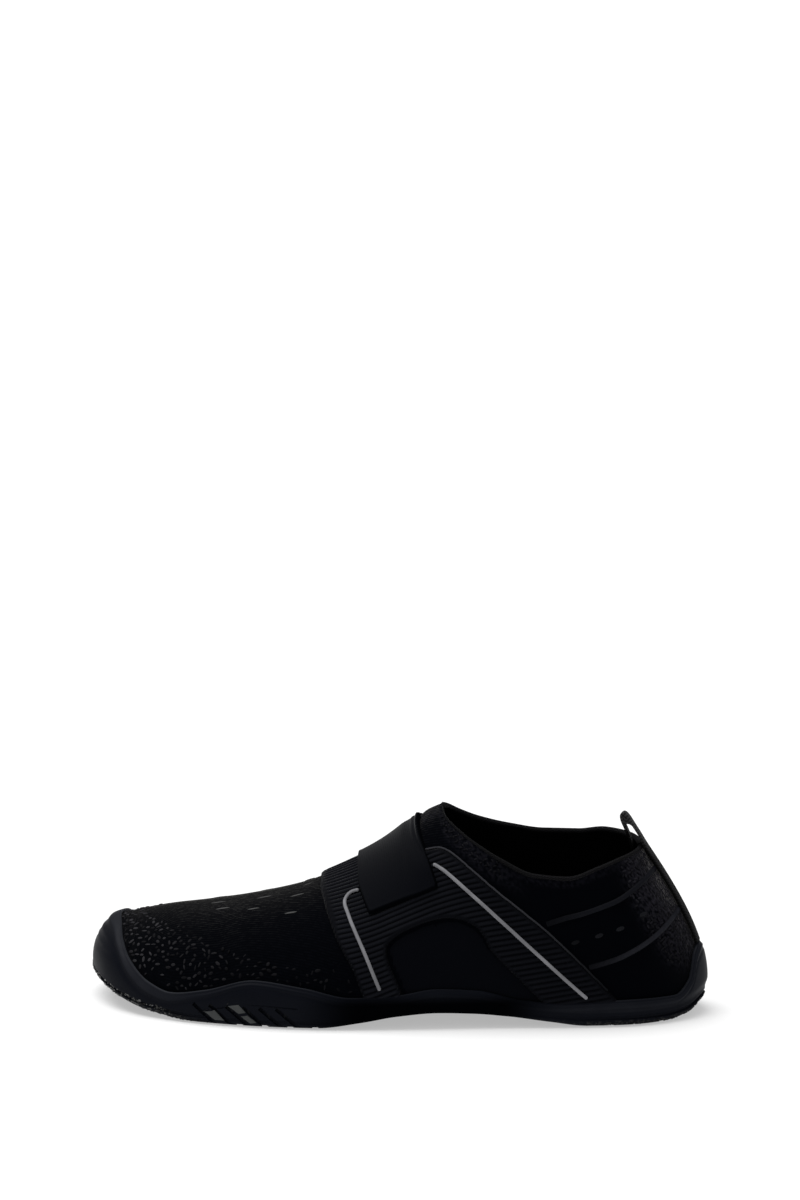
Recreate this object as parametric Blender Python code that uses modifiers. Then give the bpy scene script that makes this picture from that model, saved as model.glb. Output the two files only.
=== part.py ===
"""Slip-on water shoe for the left foot.

A moulded rubber cup sole carries a knitted upper. A ribbed saddle wraps the midfoot,
an elastic strap crosses it, and a tape runs up the heel into a pull loop.

The tables are in percent of the driving sizes, the sizes are in millimetres, and the
scene is in metres. The toe points to -X and the heel to +X, the outer (lateral) side is
-Y, the inner (medial) side is +Y, and the floor is Z = 0.
"""

import bmesh
import bpy
import numpy as np
from mathutils import Matrix

MM = 0.001

# Driving sizes
LENGTH = 276.0
BALL_WIDTH = 92.0
INSTEP_HEIGHT = 90.5
HEEL_HEIGHT = 75.0

# Walls and gaps
GAP = 0.35
WRAP_GAP = 0.45
UPPER_WALL = 2.2
SOLE_WALL = 2.2
INSOLE_THICKNESS = 3.0
INSOLE_INSET = UPPER_WALL + 4.0 * GAP
SADDLE_THICKNESS = 1.2
STRAP_THICKNESS = 1.5
STRIPE_THICKNESS = 0.5
TAPE_THICKNESS = 1.0
TAPE_WIDTH = 9.0
PIPING_DIAMETER = 1.7
SADDLE_OUTSIDE = WRAP_GAP + SADDLE_THICKNESS
PRISM_REACH = 80.0

# Grid of the last: columns run round the footprint, rows run up the wall
FRONT_COLUMNS = 19
REAR_COLUMNS = 17
ROWS_IN_SOLE = 4
ROWS_ABOVE = 8
SIDE_COLUMNS = FRONT_COLUMNS + REAR_COLUMNS
RING = 2 * SIDE_COLUMNS
TOE_CROWDING = 0.7
HEEL_CROWDING = 0.85
SECTION_SAMPLES = 401
OUTLINE_SAMPLES = 80
PATH_SAMPLES = 2
PIPING_SAMPLES = 5
MERGE_DISTANCE = 1e-6


def table(columns, *rows):
    """A short table as arrays by column name."""
    return {name: np.array(values, float) for name, values in zip(columns.split(), zip(*rows))}


# Edge where the upper meets the sole: station in percent of length, sides in percent of ball width
FOOTPRINT = table(
    "station lateral medial",
    (1.1, 12.0, 12.0),
    (3.3, -12.0, 32.5),
    (8.0, -28.5, 41.0),
    (16.3, -41.5, 46.0),
    (27.2, -49.5, 48.0),
    (38.0, -51.5, 44.5),
    (50.7, -48.0, 35.5),
    (65.2, -41.5, 29.0),
    (79.7, -36.5, 29.0),
    (89.9, -29.5, 26.5),
    (95.6, -17.5, 18.0),
    (98.4, 0.0, 0.0),
)

# Top line of the form, carried on over the opening: offset in percent of ball width, height in
# percent of instep height
RIDGE = table(
    "station offset height",
    (7.2, 10.0, 41.2),
    (12.7, 8.7, 45.0),
    (20.0, 7.6, 48.4),
    (27.2, 6.5, 52.4),
    (34.4, 6.0, 58.4),
    (41.7, 5.4, 68.2),
    (47.1, 4.9, 77.4),
    (51.5, 4.3, 88.0),
    (54.2, 4.3, 96.6),
    (56.5, 4.3, 100.0),
    (60.0, 3.8, 105.0),
    (65.0, 3.0, 110.0),
    (72.0, 1.5, 115.0),
    (80.8, 0.0, 117.5),
)

# Edge of the opening: heights in percent of heel height
COLLAR = table(
    "station lateral medial",
    (56.5, 120.7, 120.7),
    (57.6, 117.0, 116.8),
    (59.0, 114.0, 112.8),
    (62.3, 107.0, 107.3),
    (67.0, 98.0, 103.0),
    (72.5, 89.8, 100.2),
    (77.9, 88.3, 100.4),
    (82.6, 93.5, 103.0),
    (86.4, 98.0, 102.0),
    (89.1, 100.0, 100.0),
)

# Bend of each wall section: outward lean at the bottom and slope at the top in degrees,
# and the reach of each bend in percent of the section's span
SECTION = table(
    "station lean slope low_reach high_reach",
    (1.1, 4.0, 6.0, 33.0, 37.0),
    (15.0, 8.0, 4.0, 38.0, 42.0),
    (30.0, 7.0, 4.0, 38.0, 40.0),
    (45.0, 5.0, 6.0, 41.0, 32.0),
    (56.5, 4.0, 6.0, 44.0, 27.0),
    (68.0, 4.0, 6.0, 48.0, 25.0),
    (78.0, 5.0, 10.0, 48.0, 25.0),
    (88.0, 6.0, 30.0, 42.0, 27.0),
    (98.4, 7.0, 56.0, 26.0, 33.0),
)

# Top edge of the rubber: heights in millimetres above the floor
RIM = table(
    "station lateral medial",
    (1.1, 35.6, 35.6),
    (3.0, 33.5, 34.5),
    (5.1, 28.8, 31.5),
    (7.3, 22.8, 26.5),
    (10.9, 15.6, 18.0),
    (14.5, 12.6, 13.2),
    (20.0, 15.0, 15.0),
    (28.3, 20.5, 20.0),
    (36.2, 18.2, 17.5),
    (43.5, 14.5, 15.2),
    (50.7, 15.5, 17.0),
    (57.2, 18.2, 19.5),
    (63.4, 17.3, 18.0),
    (70.7, 12.8, 13.4),
    (76.8, 11.4, 11.6),
    (88.8, 12.2, 12.2),
    (94.4, 12.1, 12.1),
    (96.4, 17.5, 17.5),
    (97.6, 28.0, 28.0),
    (98.4, 31.5, 31.5),
)

# Underside and footbed of the sole: heights in millimetres above the floor
UNDERSIDE = table(
    "station lateral middle medial footbed groove",
    (1.1, 11.4, 11.4, 11.4, 15.2, 0.9),
    (5.4, 6.2, 6.2, 6.2, 11.2, 0.9),
    (10.9, 2.3, 2.3, 2.3, 7.7, 0.9),
    (19.0, 0.0, 0.0, 0.0, 5.6, 0.6),
    (38.0, 0.0, 0.0, 0.0, 5.6, 0.3),
    (45.3, 2.6, 1.2, 2.8, 7.2, 0.0),
    (50.7, 5.2, 3.0, 6.0, 9.6, 0.0),
    (57.0, 6.6, 4.6, 8.2, 11.2, 0.0),
    (63.0, 6.0, 4.4, 8.0, 11.0, 0.0),
    (69.0, 4.4, 2.6, 5.6, 9.6, 0.0),
    (75.0, 2.0, 0.8, 2.4, 7.8, 0.3),
    (81.0, 0.0, 0.0, 0.0, 7.0, 0.6),
    (92.5, 0.0, 0.0, 0.0, 7.0, 0.9),
    (96.4, 1.6, 1.6, 1.6, 8.0, 0.9),
    (98.4, 6.0, 6.0, 6.0, 11.0, 0.9),
)

# Side of the sole from the tread to the feather edge: share of the way up, and the shares of the
# corner's and the groove's depth taken there
SOLE_SIDE = table(
    "share corner groove",
    (0.18, 1.0, 0.0),
    (0.42, 0.0, 0.0),
    (0.52, 0.0, 1.0),
    (0.68, 0.0, 1.0),
    (0.80, 0.0, 0.0),
)
UNDERSIDE_STEPS = (0.0, 0.5, 0.85, 1.0)
FOOTBED_MIDWAY = 0.5

# Outline of the ribbed saddle seen from the side: its front edge, its arched window and its rear edge
SADDLE_FRONT = table(
    "station height",
    (101.0, 66.0),
    (103.0, 55.0),
    (106.5, 49.5),
    (113.4, 37.6),
    (121.6, 24.6),
    (127.5, 8.0),
)
SADDLE_WINDOW = table(
    "station height",
    (145.0, 8.0),
    (141.2, 20.5),
    (137.1, 29.5),
    (136.2, 36.0),
    (139.6, 40.1),
    (146.4, 44.0),
    (155.6, 47.6),
    (164.9, 48.6),
    (172.1, 46.5),
    (177.0, 42.4),
    (181.0, 35.1),
    (186.4, 29.3),
    (194.4, 21.1),
    (207.0, 8.0),
)
SADDLE_REAR = table(
    "station height",
    (240.5, 8.0),
    (232.2, 16.9),
    (216.3, 33.5),
    (204.8, 44.2),
    (180.0, 63.0),
    (172.2, 68.9),
    (163.0, 75.0),
    (158.0, 76.4),
    (151.6, 75.2),
    (147.0, 84.0),
    (145.0, 98.0),
)

# Outline of the elastic strap seen from the side
STRAP_OUTLINE = table(
    "station height",
    (118.5, 80.0),
    (119.6, 66.0),
    (122.4, 56.5),
    (127.8, 47.8),
    (129.6, 48.0),
    (157.6, 60.8),
    (157.6, 62.4),
    (153.8, 71.0),
    (147.6, 83.0),
    (145.4, 98.0),
)

# Middle lines of the welded heel stripes and of the reflective piping seen from the side
UPPER_STRIPE = table(
    "station height",
    (205.6, 46.4),
    (213.0, 48.8),
    (222.0, 51.0),
    (230.7, 53.8),
    (237.3, 56.4),
    (244.5, 61.0),
    (251.0, 65.4),
    (258.0, 69.4),
)
LOWER_STRIPE = table(
    "station height",
    (224.4, 27.0),
    (237.8, 31.0),
    (251.8, 38.5),
    (260.2, 45.5),
    (270.0, 55.5),
)
FRONT_PIPING = table(
    "station height",
    (121.9, 55.4),
    (118.4, 54.0),
    (116.4, 51.0),
    (118.4, 46.8),
    (126.3, 32.9),
    (132.8, 18.4),
)
REAR_PIPING = table(
    "station height",
    (156.0, 69.6),
    (160.6, 67.6),
    (176.7, 55.4),
    (199.1, 35.9),
    (223.0, 13.8),
)

# Middle line of the pull loop seen from the side, from its end inside the collar to the back of the heel
PULL_LOOP = table(
    "station height",
    (241.8, 70.0),
    (240.8, 74.6),
    (239.6, 78.6),
    (238.0, 82.4),
    (236.4, 86.2),
    (236.2, 88.4),
    (237.2, 89.2),
    (238.6, 88.2),
    (241.6, 83.6),
    (244.6, 78.9),
)

# Lugs of the forefoot's side: slots between them, in millimetres
FIRST_SLOT = 55.9
SLOT_PITCH = 7.5
SLOT_COUNT = 6
SLOT_LENGTH = 15.0
SLOT_WIDTH = 1.8
SLOT_DEPTH = 1.6
SLOT_LEAN = 40.0
SLOT_HEIGHT = 4.4

# Grooves across the tread
FOREFOOT_GROOVES = (60.0, 71.0, 82.0, 93.0)
HEEL_GROOVES = (226.0, 238.0, 250.0)
TREAD_GROOVE_WIDTH = 3.0
TREAD_GROOVE_DEPTH = 1.2
TREAD_GROOVE_SWEEP = 14.0

# Stripes and tape
STRIPE_WIDTH = 2.2
TAPE_END = 33.5
TAPE_STEPS = 7
TAPE_LINES = 3
TAPE_COLUMNS = 4

# How far the columns fan out at the ends, and how far the tread's edge stands in
TOE_FAN = 18.0
FAN_END = 60.0
SPINE_FAN = 21.0
EDGE_INSET = 4.5
CORNER_INSET = 1.0

# Colour and roughness of each material
RUBBER = ((0.03, 0.03, 0.034), 0.5)
FOAM = ((0.02, 0.02, 0.022), 0.9)
KNIT = ((0.012, 0.012, 0.016), 0.85)
RIBBED_KNIT = ((0.02, 0.02, 0.025), 0.7)
ELASTIC = ((0.025, 0.025, 0.03), 0.6)
WELD = ((0.045, 0.045, 0.05), 0.6)
REFLECTIVE = ((0.4, 0.4, 0.42), 0.4)
WEBBING = ((0.03, 0.03, 0.034), 0.8)


def station(percent):
    """Millimetres from the toe tip."""
    return np.asarray(percent) * LENGTH / 100.0


def across(percent):
    """Millimetres from the shoe's long axis."""
    return np.asarray(percent) * BALL_WIDTH / 100.0


def along(rows, column, place):
    """A table's column at a station in millimetres, with no overshoot between the rows."""
    x = station(rows["station"])
    y = rows[column]
    step = np.diff(x)
    rise = np.diff(y) / step
    slope = np.concatenate([[rise[0]], np.zeros(len(x) - 2), [rise[-1]]])
    for i in range(1, len(x) - 1):
        if rise[i - 1] * rise[i] > 0.0:
            before = 2.0 * step[i] + step[i - 1]
            after = step[i] + 2.0 * step[i - 1]
            slope[i] = (before + after) / (before / rise[i - 1] + after / rise[i])
    place = np.clip(place, x[0], x[-1])
    i = np.clip(np.searchsorted(x, place) - 1, 0, len(step) - 1)
    t = (place - x[i]) / step[i]
    bend = step[i] * ((t**3 - 2 * t**2 + t) * slope[i] + (t**3 - t**2) * slope[i + 1])
    return y[i] + (3 * t**2 - 2 * t**3) * (y[i + 1] - y[i]) + bend


def closed_loop(points, samples):
    """A smooth closed curve through the points, with this many samples to each span."""
    ahead = np.roll(points, -1, axis=0)
    chord = np.linalg.norm(ahead - points, axis=1)[:, None] ** 0.5
    before = np.roll(chord, 1, axis=0)
    leaving = (ahead - points) / chord
    slope = (np.roll(leaving, 1, axis=0) * chord + leaving * before) / (before + chord)
    spans = []
    for i in range(len(points)):
        t = np.linspace(0.0, 1.0, samples, endpoint=False)[:, None]
        nearby = (t**3 - 2 * t**2 + t) * slope[i] + (t**3 - t**2) * slope[(i + 1) % len(points)]
        blend = 3 * t**2 - 2 * t**3
        spans.append(points[i] + blend * (ahead[i] - points[i]) + chord[i] * nearby)
    return np.concatenate(spans)


def two_sides(front, lateral, back, medial):
    """The lateral and medial halves of a closed curve, each from its front point to its back point."""
    points = np.array([front, *lateral, back, *medial[::-1]], float)
    curve = closed_loop(points, OUTLINE_SAMPLES)
    turn = len(curve) * (len(lateral) + 1) // len(points)
    return curve[: turn + 1], np.concatenate([curve[turn:], curve[:1]])[::-1]


def footprint_sides():
    """The feather edge in plan, as (station, offset) along each side."""
    place = station(FOOTPRINT["station"])
    lateral = np.column_stack([place, across(FOOTPRINT["lateral"])])
    medial = np.column_stack([place, across(FOOTPRINT["medial"])])
    return two_sides(lateral[0], lateral[1:-1], lateral[-1], medial[1:-1])


def column_stations():
    """Stations of the columns along one side, close together where the outline turns."""
    toe, heel = station(FOOTPRINT["station"][[0, -1]])
    collar = station(COLLAR["station"][0])
    f = np.linspace(0.0, 1.0, FRONT_COLUMNS + 1)
    crowded = TOE_CROWDING * (1.0 - np.cos(f * np.pi / 2.0))
    front = toe + (collar - toe) * (crowded + (1.0 - TOE_CROWDING) * f)
    f = np.linspace(0.0, 1.0, REAR_COLUMNS + 1)[1:]
    crowded = HEEL_CROWDING * (1.0 - np.cos(f * np.pi)) / 2.0
    rear = collar + (heel - collar) * (crowded + (1.0 - HEEL_CROWDING) * f)
    return np.concatenate([front, rear])


def top_stations(low):
    """Where each column reaches the top line: the ends lean towards the instep."""
    collar = station(COLLAR["station"][0])
    back = station(RIDGE["station"][-1])
    heel = station(FOOTPRINT["station"][-1])
    toe_lean = TOE_FAN * np.clip(1.0 - low / FAN_END, 0.0, None) ** 2
    heel_lean = (heel - back) * (np.clip(low - collar, 0.0, None) / (heel - collar)) ** 2
    return low + toe_lean - heel_lean


def ring_of_columns():
    """The foot and the top of every column, from the toe along the lateral side to the heel and back."""
    low = column_stations()
    high = top_stations(low)
    footing = along(UNDERSIDE, "footbed", low) + GAP
    feet = [np.column_stack([low, np.interp(low, *edge.T), footing]) for edge in footprint_sides()]
    ridge_height = along(RIDGE, "height", high) * INSTEP_HEIGHT / 100.0
    tops = np.column_stack([high, across(along(RIDGE, "offset", high)), ridge_height])
    return np.concatenate([feet[0], feet[1][-2:0:-1]]), np.concatenate([tops, tops[-2:0:-1]])


def section_curve(foot, top, share):
    """Points of one wall section at these shares of its way up."""
    place = foot[0]
    lean = np.radians(along(SECTION, "lean", place))
    slope = np.radians(along(SECTION, "slope", place))
    span = np.linalg.norm(top - foot)
    outward = (foot - top) * (1.0, 1.0, 0.0)
    outward /= np.linalg.norm(outward)
    up = np.array([0.0, 0.0, 1.0])
    low_reach = span * along(SECTION, "low_reach", place) / 100.0
    high_reach = span * along(SECTION, "high_reach", place) / 100.0
    low = foot + low_reach * (np.cos(lean) * up + np.sin(lean) * outward)
    high = top + high_reach * (np.cos(slope) * outward - np.sin(slope) * up)
    t = share[:, None]
    return (1 - t) ** 3 * foot + 3 * t * (1 - t) ** 2 * low + 3 * t**2 * (1 - t) * high + t**3 * top


def last_grid():
    """The outer surface of the upper: points by column and row, the first rows inside the sole."""
    feet, tops = ring_of_columns()
    fine = np.linspace(0.0, 1.0, SECTION_SAMPLES)
    collar = station(COLLAR["station"][0])
    columns = []
    for i, (foot, top) in enumerate(zip(feet, tops)):
        side = "lateral" if i <= SIDE_COLUMNS else "medial"
        curve = section_curve(foot, top, fine)
        rim = np.interp(along(RIM, side, foot[0]), curve[:, 2], fine)
        end = 1.0
        if foot[0] > collar:
            above = curve[:, 2] - along(COLLAR, side, curve[:, 0]) * HEEL_HEIGHT / 100.0
            end = np.interp(0.0, above, fine)
        share = np.concatenate(
            [np.linspace(0.0, rim, ROWS_IN_SOLE + 1), np.linspace(rim, end, ROWS_ABOVE + 1)[1:]]
        )
        columns.append(section_curve(foot, top, share))
    return np.array(columns)


def last_normals(grid):
    """Outward directions at the points of the grid, shared where the two sides meet on top."""
    round_ring = np.roll(grid, -1, axis=0) - np.roll(grid, 1, axis=0)
    up_wall = np.gradient(grid, axis=1)
    normal = np.cross(round_ring, up_wall)
    normal[0, -1] = normal[1, -1] + normal[-1, -1]
    normal /= np.linalg.norm(normal, axis=2, keepdims=True)
    opposite = (-np.arange(RING)) % RING
    on_ridge = np.linalg.norm(grid[:, -1] - grid[opposite, -1], axis=1) < MERGE_DISTANCE
    shared = normal[:, -1] + normal[opposite, -1]
    shared /= np.linalg.norm(shared, axis=1, keepdims=True)
    normal[on_ridge, -1] = shared[on_ridge]
    return normal


GRID = last_grid()
NORMALS = last_normals(GRID)


def skin(offset):
    """The last's surface moved outwards by an offset."""
    return GRID + offset * NORMALS


def floor_centre():
    """The point of the floor under the middle of the sole's box."""
    wall = skin(WRAP_GAP + SOLE_WALL)[:, : ROWS_IN_SOLE + 1]
    middle = (wall.min(axis=(0, 1)) + wall.max(axis=(0, 1))) / 2.0
    return middle * (1.0, 1.0, 0.0)


CENTRE = floor_centre()


def to_scene(points):
    """Shoe millimetres, measured from the toe tip, to scene metres about the middle of the floor."""
    return (np.asarray(points, float) - CENTRE) * MM


def main_collection():
    """The collection of the shoe's parts."""
    return bpy.data.collections["slip_on_shoe"]


def grid_object(name, points):
    """An object over a grid of points whose columns form a ring."""
    return strip_object(name, np.concatenate([points, points[:1]]))


def strip_object(name, points):
    """An object over a grid of points, with doubled points merged and facets split the shorter way."""
    columns, rows = points.shape[:2]
    shape = bmesh.new()
    bmesh.ops.create_grid(shape, x_segments=columns - 1, y_segments=rows - 1, size=1.0)
    shape.verts.ensure_lookup_table()
    place = to_scene(points)
    for i, corner in enumerate(shape.verts):
        corner.co = place[i % columns, i // columns]
    bmesh.ops.remove_doubles(shape, verts=shape.verts, dist=MERGE_DISTANCE)
    bmesh.ops.recalc_face_normals(shape, faces=shape.faces)
    bmesh.ops.triangulate(shape, faces=shape.faces, quad_method="SHORT_EDGE")
    mesh = bpy.data.meshes.new(name)
    shape.to_mesh(mesh)
    shape.free()
    part = bpy.data.objects.new(name, mesh)
    main_collection().objects.link(part)
    return part


def spine():
    """Middle line of the footprint under each column, as (station, offset)."""
    low = GRID[:, 0, 0]
    toe, heel = low.min(), low.max()
    ahead = SPINE_FAN * np.clip(1.0 - (low - toe) / FAN_END, 0.0, None) ** 2
    behind = SPINE_FAN * np.clip(1.0 - (heel - low) / FAN_END, 0.0, None) ** 2
    place = low + ahead - behind
    middle = np.mean([np.interp(place, edge[:, 0], edge[:, 1]) for edge in footprint_sides()], axis=0)
    return np.column_stack([place, middle])


def inwards(points, distance):
    """Points moved level towards the middle line."""
    pull = spine() - points[:, :2]
    pull /= np.linalg.norm(pull, axis=1, keepdims=True)
    return points + np.column_stack([pull * distance, np.zeros(len(points))])


def at_height(points, height):
    """The same points in plan at another height."""
    return np.column_stack([points[:, :2], height * np.ones(len(points))])


def between(start, end, share):
    """Points this share of the way from start to end."""
    return start + (end - start) * share


def footbed():
    """Edge and middle of the sole's inner floor under each column."""
    edge = at_height(skin(WRAP_GAP)[:, 0], along(UNDERSIDE, "footbed", GRID[:, 0, 0]))
    middle = spine()
    return edge, np.column_stack([middle, along(UNDERSIDE, "footbed", middle[:, 0])])


def outsole():
    """The rubber cup: tread edge, groove, side wall, rim and footbed, a profile at every column."""
    outer = skin(WRAP_GAP + SOLE_WALL)[:, : ROWS_IN_SOLE + 1]
    inner = skin(WRAP_GAP)[:, : ROWS_IN_SOLE + 1]
    place = GRID[:, 0, 0]
    lateral_side = np.arange(RING) <= SIDE_COLUMNS
    edge_height = np.where(
        lateral_side, along(UNDERSIDE, "lateral", place), along(UNDERSIDE, "medial", place)
    )
    groove = along(UNDERSIDE, "groove", place)
    foot = outer[:, 0]
    wall_height = foot[:, 2] - edge_height
    one_in = inwards(foot, 1.0) - foot
    middle = spine()
    low_middle = np.column_stack([middle, along(UNDERSIDE, "middle", middle[:, 0])])
    edge = at_height(inwards(foot, EDGE_INSET), edge_height)
    bed_edge, bed_middle = footbed()
    profile = [between(low_middle, edge, share) for share in UNDERSIDE_STEPS]
    for share, corner, in_groove in zip(*SOLE_SIDE.values()):
        inset = corner * CORNER_INSET + in_groove * groove
        profile.append(at_height(foot + one_in * inset[:, None], edge_height + share * wall_height))
    profile += [
        *np.moveaxis(outer, 1, 0),
        *np.moveaxis(inner[:, ::-1], 1, 0),
        bed_edge,
        between(bed_edge, bed_middle, FOOTBED_MIDWAY),
        bed_middle,
    ]
    return grid_object("outsole", np.moveaxis(np.array(profile), 0, 1))


def insole():
    """The sheet of foam on the footbed."""
    edge, middle = footbed()
    reach = np.linalg.norm(middle - edge, axis=1, keepdims=True)
    rim = edge + (middle - edge) * INSOLE_INSET / reach
    low = [middle, between(edge, middle, FOOTBED_MIDWAY), rim]
    lift = np.array([0.0, 0.0, GAP])
    rise = np.array([0.0, 0.0, GAP + INSOLE_THICKNESS])
    profile = [line + lift for line in low] + [line + rise for line in low[::-1]]
    return grid_object("insole", np.moveaxis(np.array(profile), 0, 1))


def side_outline(*tables):
    """One outline in the side view from tables laid end to end."""
    return np.concatenate([np.column_stack([rows["station"], rows["height"]]) for rows in tables])


def smooth_path(rows, samples):
    """Points of a smooth open path through a table's points in the side view."""
    points = side_outline(rows)
    there_and_back = np.concatenate([points, points[-2:0:-1]])
    return closed_loop(there_and_back, samples)[: samples * (len(points) - 1) + 1]


def band_outline(rows, width):
    """Outline of a band of this width along a path in the side view."""
    path = smooth_path(rows, PATH_SAMPLES)
    run = np.gradient(path, axis=0)
    run /= np.linalg.norm(run, axis=1, keepdims=True)
    aside = np.column_stack([-run[:, 1], run[:, 0]]) * width / 2.0
    return np.concatenate([path + aside, (path - aside)[::-1]])


def prism(name, outline):
    """A cutter: an outline of the side view carried across the shoe."""
    curve = bpy.data.curves.new(name, "CURVE")
    curve.dimensions = "2D"
    curve.fill_mode = "BOTH"
    curve.extrude = PRISM_REACH * MM
    line = curve.splines.new("POLY")
    line.points.add(len(outline) - 1)
    for point, (place, height) in zip(line.points, outline):
        point.co = ((place - CENTRE[0]) * MM, height * MM, 0.0, 1.0)
    line.use_cyclic_u = True
    drawn = bpy.data.objects.new(name + "_outline", curve)
    bpy.context.scene.collection.objects.link(drawn)
    drawn.rotation_euler = (np.pi / 2.0, 0.0, 0.0)
    bpy.context.view_layer.update()
    mesh = bpy.data.meshes.new_from_object(drawn.evaluated_get(bpy.context.evaluated_depsgraph_get()))
    mesh.transform(drawn.matrix_world)
    bpy.data.objects.remove(drawn)
    return cutter(name, mesh)


def cutter(name, mesh):
    """A hidden cutter object whose faces look outwards."""
    shape = bmesh.new()
    shape.from_mesh(mesh)
    bmesh.ops.remove_doubles(shape, verts=shape.verts, dist=MERGE_DISTANCE)
    bmesh.ops.recalc_face_normals(shape, faces=shape.faces)
    shape.to_mesh(mesh)
    shape.free()
    tool = bpy.data.objects.new(name, mesh)
    tool.hide_render = True
    tool.display_type = "WIRE"
    bpy.data.collections["cutters"].objects.link(tool)
    return tool


def cut(part, tool, operation):
    """A live Boolean of a part with a cutter."""
    step = part.modifiers.new(tool.name, "BOOLEAN")
    step.operation = operation
    step.solver = "EXACT"
    step.object = tool


def overlay(name, inside, thickness, outline):
    """A piece between two larger forms of the upper, inside an outline of the side view."""
    wall = skin(inside)[:, ROWS_IN_SOLE:]
    lift = np.linalg.norm(wall[:, 1] - wall[:, 0], axis=1)[:, None]
    wall[:, 0] += (wall[:, 1] - wall[:, 0]) * np.minimum(2.0 * GAP / lift, 0.5)
    part = grid_object(name, wall)
    shell = part.modifiers.new("thickness", "SOLIDIFY")
    shell.thickness = thickness * MM
    shell.offset = 1.0
    cut(part, prism(name + "_cutter", outline), "INTERSECT")
    return part


def level_cut(columns, height):
    """Station and offset of each column of the wall at a height."""
    return np.array([[np.interp(height, column[:, 2], column[:, i]) for i in (0, 1)] for column in columns])


def on_wall(side, place, height, offset):
    """A point of the upper's side at a station and a height, moved outwards by an offset."""
    wall = skin(offset)
    first = 0 if side == "lateral" else SIDE_COLUMNS
    columns = np.take(wall, range(first, first + SIDE_COLUMNS + 1), axis=0, mode="wrap")
    level = level_cut(columns, height)
    level = level[np.argsort(level[:, 0])]
    return np.array([place, np.interp(place, level[:, 0], level[:, 1]), height])


def piping(name, side, rows):
    """A round reflective piping laid on the saddle."""
    radius = PIPING_DIAMETER / 2.0
    path = smooth_path(rows, PIPING_SAMPLES)
    offset = SADDLE_OUTSIDE + WRAP_GAP + radius
    points = [on_wall(side, place, height, offset) for place, height in path]
    curve = bpy.data.curves.new(name, "CURVE")
    curve.dimensions = "3D"
    curve.bevel_depth = radius * MM
    curve.bevel_resolution = 0
    curve.use_fill_caps = True
    line = curve.splines.new("POLY")
    line.points.add(len(points) - 1)
    for point, place in zip(line.points, to_scene(points)):
        point.co = (*place, 1.0)
    part = bpy.data.objects.new(name, curve)
    main_collection().objects.link(part)
    return part


def heel_tape():
    """The webbing tape: out of the collar, round the pull loop and down the back of the heel."""
    wall = skin(GAP + STRIPE_THICKNESS + GAP + TAPE_THICKNESS / 2.0)
    heel = wall[SIDE_COLUMNS - TAPE_COLUMNS : SIDE_COLUMNS + TAPE_COLUMNS + 1]
    loop = smooth_path(PULL_LOOP, PATH_SAMPLES)
    heights = np.linspace(HEEL_HEIGHT, TAPE_END, TAPE_STEPS)
    lines = []
    for aside in np.linspace(-0.5, 0.5, TAPE_LINES) * TAPE_WIDTH:
        run = []
        for height in heights:
            level = level_cut(heel, height)
            run.append((np.interp(aside, level[:, 1], level[:, 0]), aside, height))
        lines.append(np.concatenate([np.insert(loop, 1, aside, axis=1), run]))
    part = strip_object("heel_tape", np.array(lines))
    shell = part.modifiers.new("thickness", "SOLIDIFY")
    shell.thickness = TAPE_THICKNESS * MM
    shell.offset = 0.0
    shell.use_even_offset = True
    return part


def lug_cutter():
    """The slots between the lugs of the forefoot's sides."""
    shape = bmesh.new()
    wall = skin(WRAP_GAP + SOLE_WALL)[:, 0]
    for columns in (wall[: SIDE_COLUMNS + 1], wall[SIDE_COLUMNS:][::-1]):
        for i in range(SLOT_COUNT):
            place = FIRST_SLOT + i * SLOT_PITCH
            edge = np.interp(place, columns[:, 0], columns[:, 1])
            ahead = np.interp(place + 1.0, columns[:, 0], columns[:, 1])
            turn = Matrix.Rotation(np.arctan(ahead - edge), 4, "Z")
            lean = Matrix.Rotation(np.radians(SLOT_LEAN), 4, "Y")
            sides = np.array([SLOT_LENGTH, 2.0 * SLOT_DEPTH, SLOT_WIDTH]) * MM
            size = Matrix.Diagonal((*sides, 1.0))
            move = Matrix.Translation(to_scene((place, edge, SLOT_HEIGHT)))
            bmesh.ops.create_cube(shape, size=1.0, matrix=move @ turn @ lean @ size)
    mesh = bpy.data.meshes.new("slots")
    shape.to_mesh(mesh)
    shape.free()
    return cutter("slots", mesh)


def tread_cutter():
    """The grooves across the tread of the forefoot and the heel."""
    shape = bmesh.new()
    for place in FOREFOOT_GROOVES + HEEL_GROOVES:
        sweep = Matrix.Rotation(np.radians(TREAD_GROOVE_SWEEP), 4, "Z")
        sides = np.array([TREAD_GROOVE_WIDTH, 2.0 * PRISM_REACH, 2.0 * TREAD_GROOVE_DEPTH]) * MM
        size = Matrix.Diagonal((*sides, 1.0))
        move = Matrix.Translation(to_scene((place, 0.0, 0.0)))
        bmesh.ops.create_cube(shape, size=1.0, matrix=move @ sweep @ size)
    mesh = bpy.data.meshes.new("tread_grooves")
    shape.to_mesh(mesh)
    shape.free()
    return cutter("tread_grooves", mesh)


def finish(part, name, colour, roughness):
    """Gives a part its own plain material."""
    surface = bpy.data.materials.new(name)
    surface.use_nodes = True
    shader = surface.node_tree.nodes["Principled BSDF"]
    shader.inputs["Base Color"].default_value = (*colour, 1.0)
    shader.inputs["Roughness"].default_value = roughness
    shader.inputs["Metallic"].default_value = 0.0
    part.data.materials.append(surface)


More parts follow.
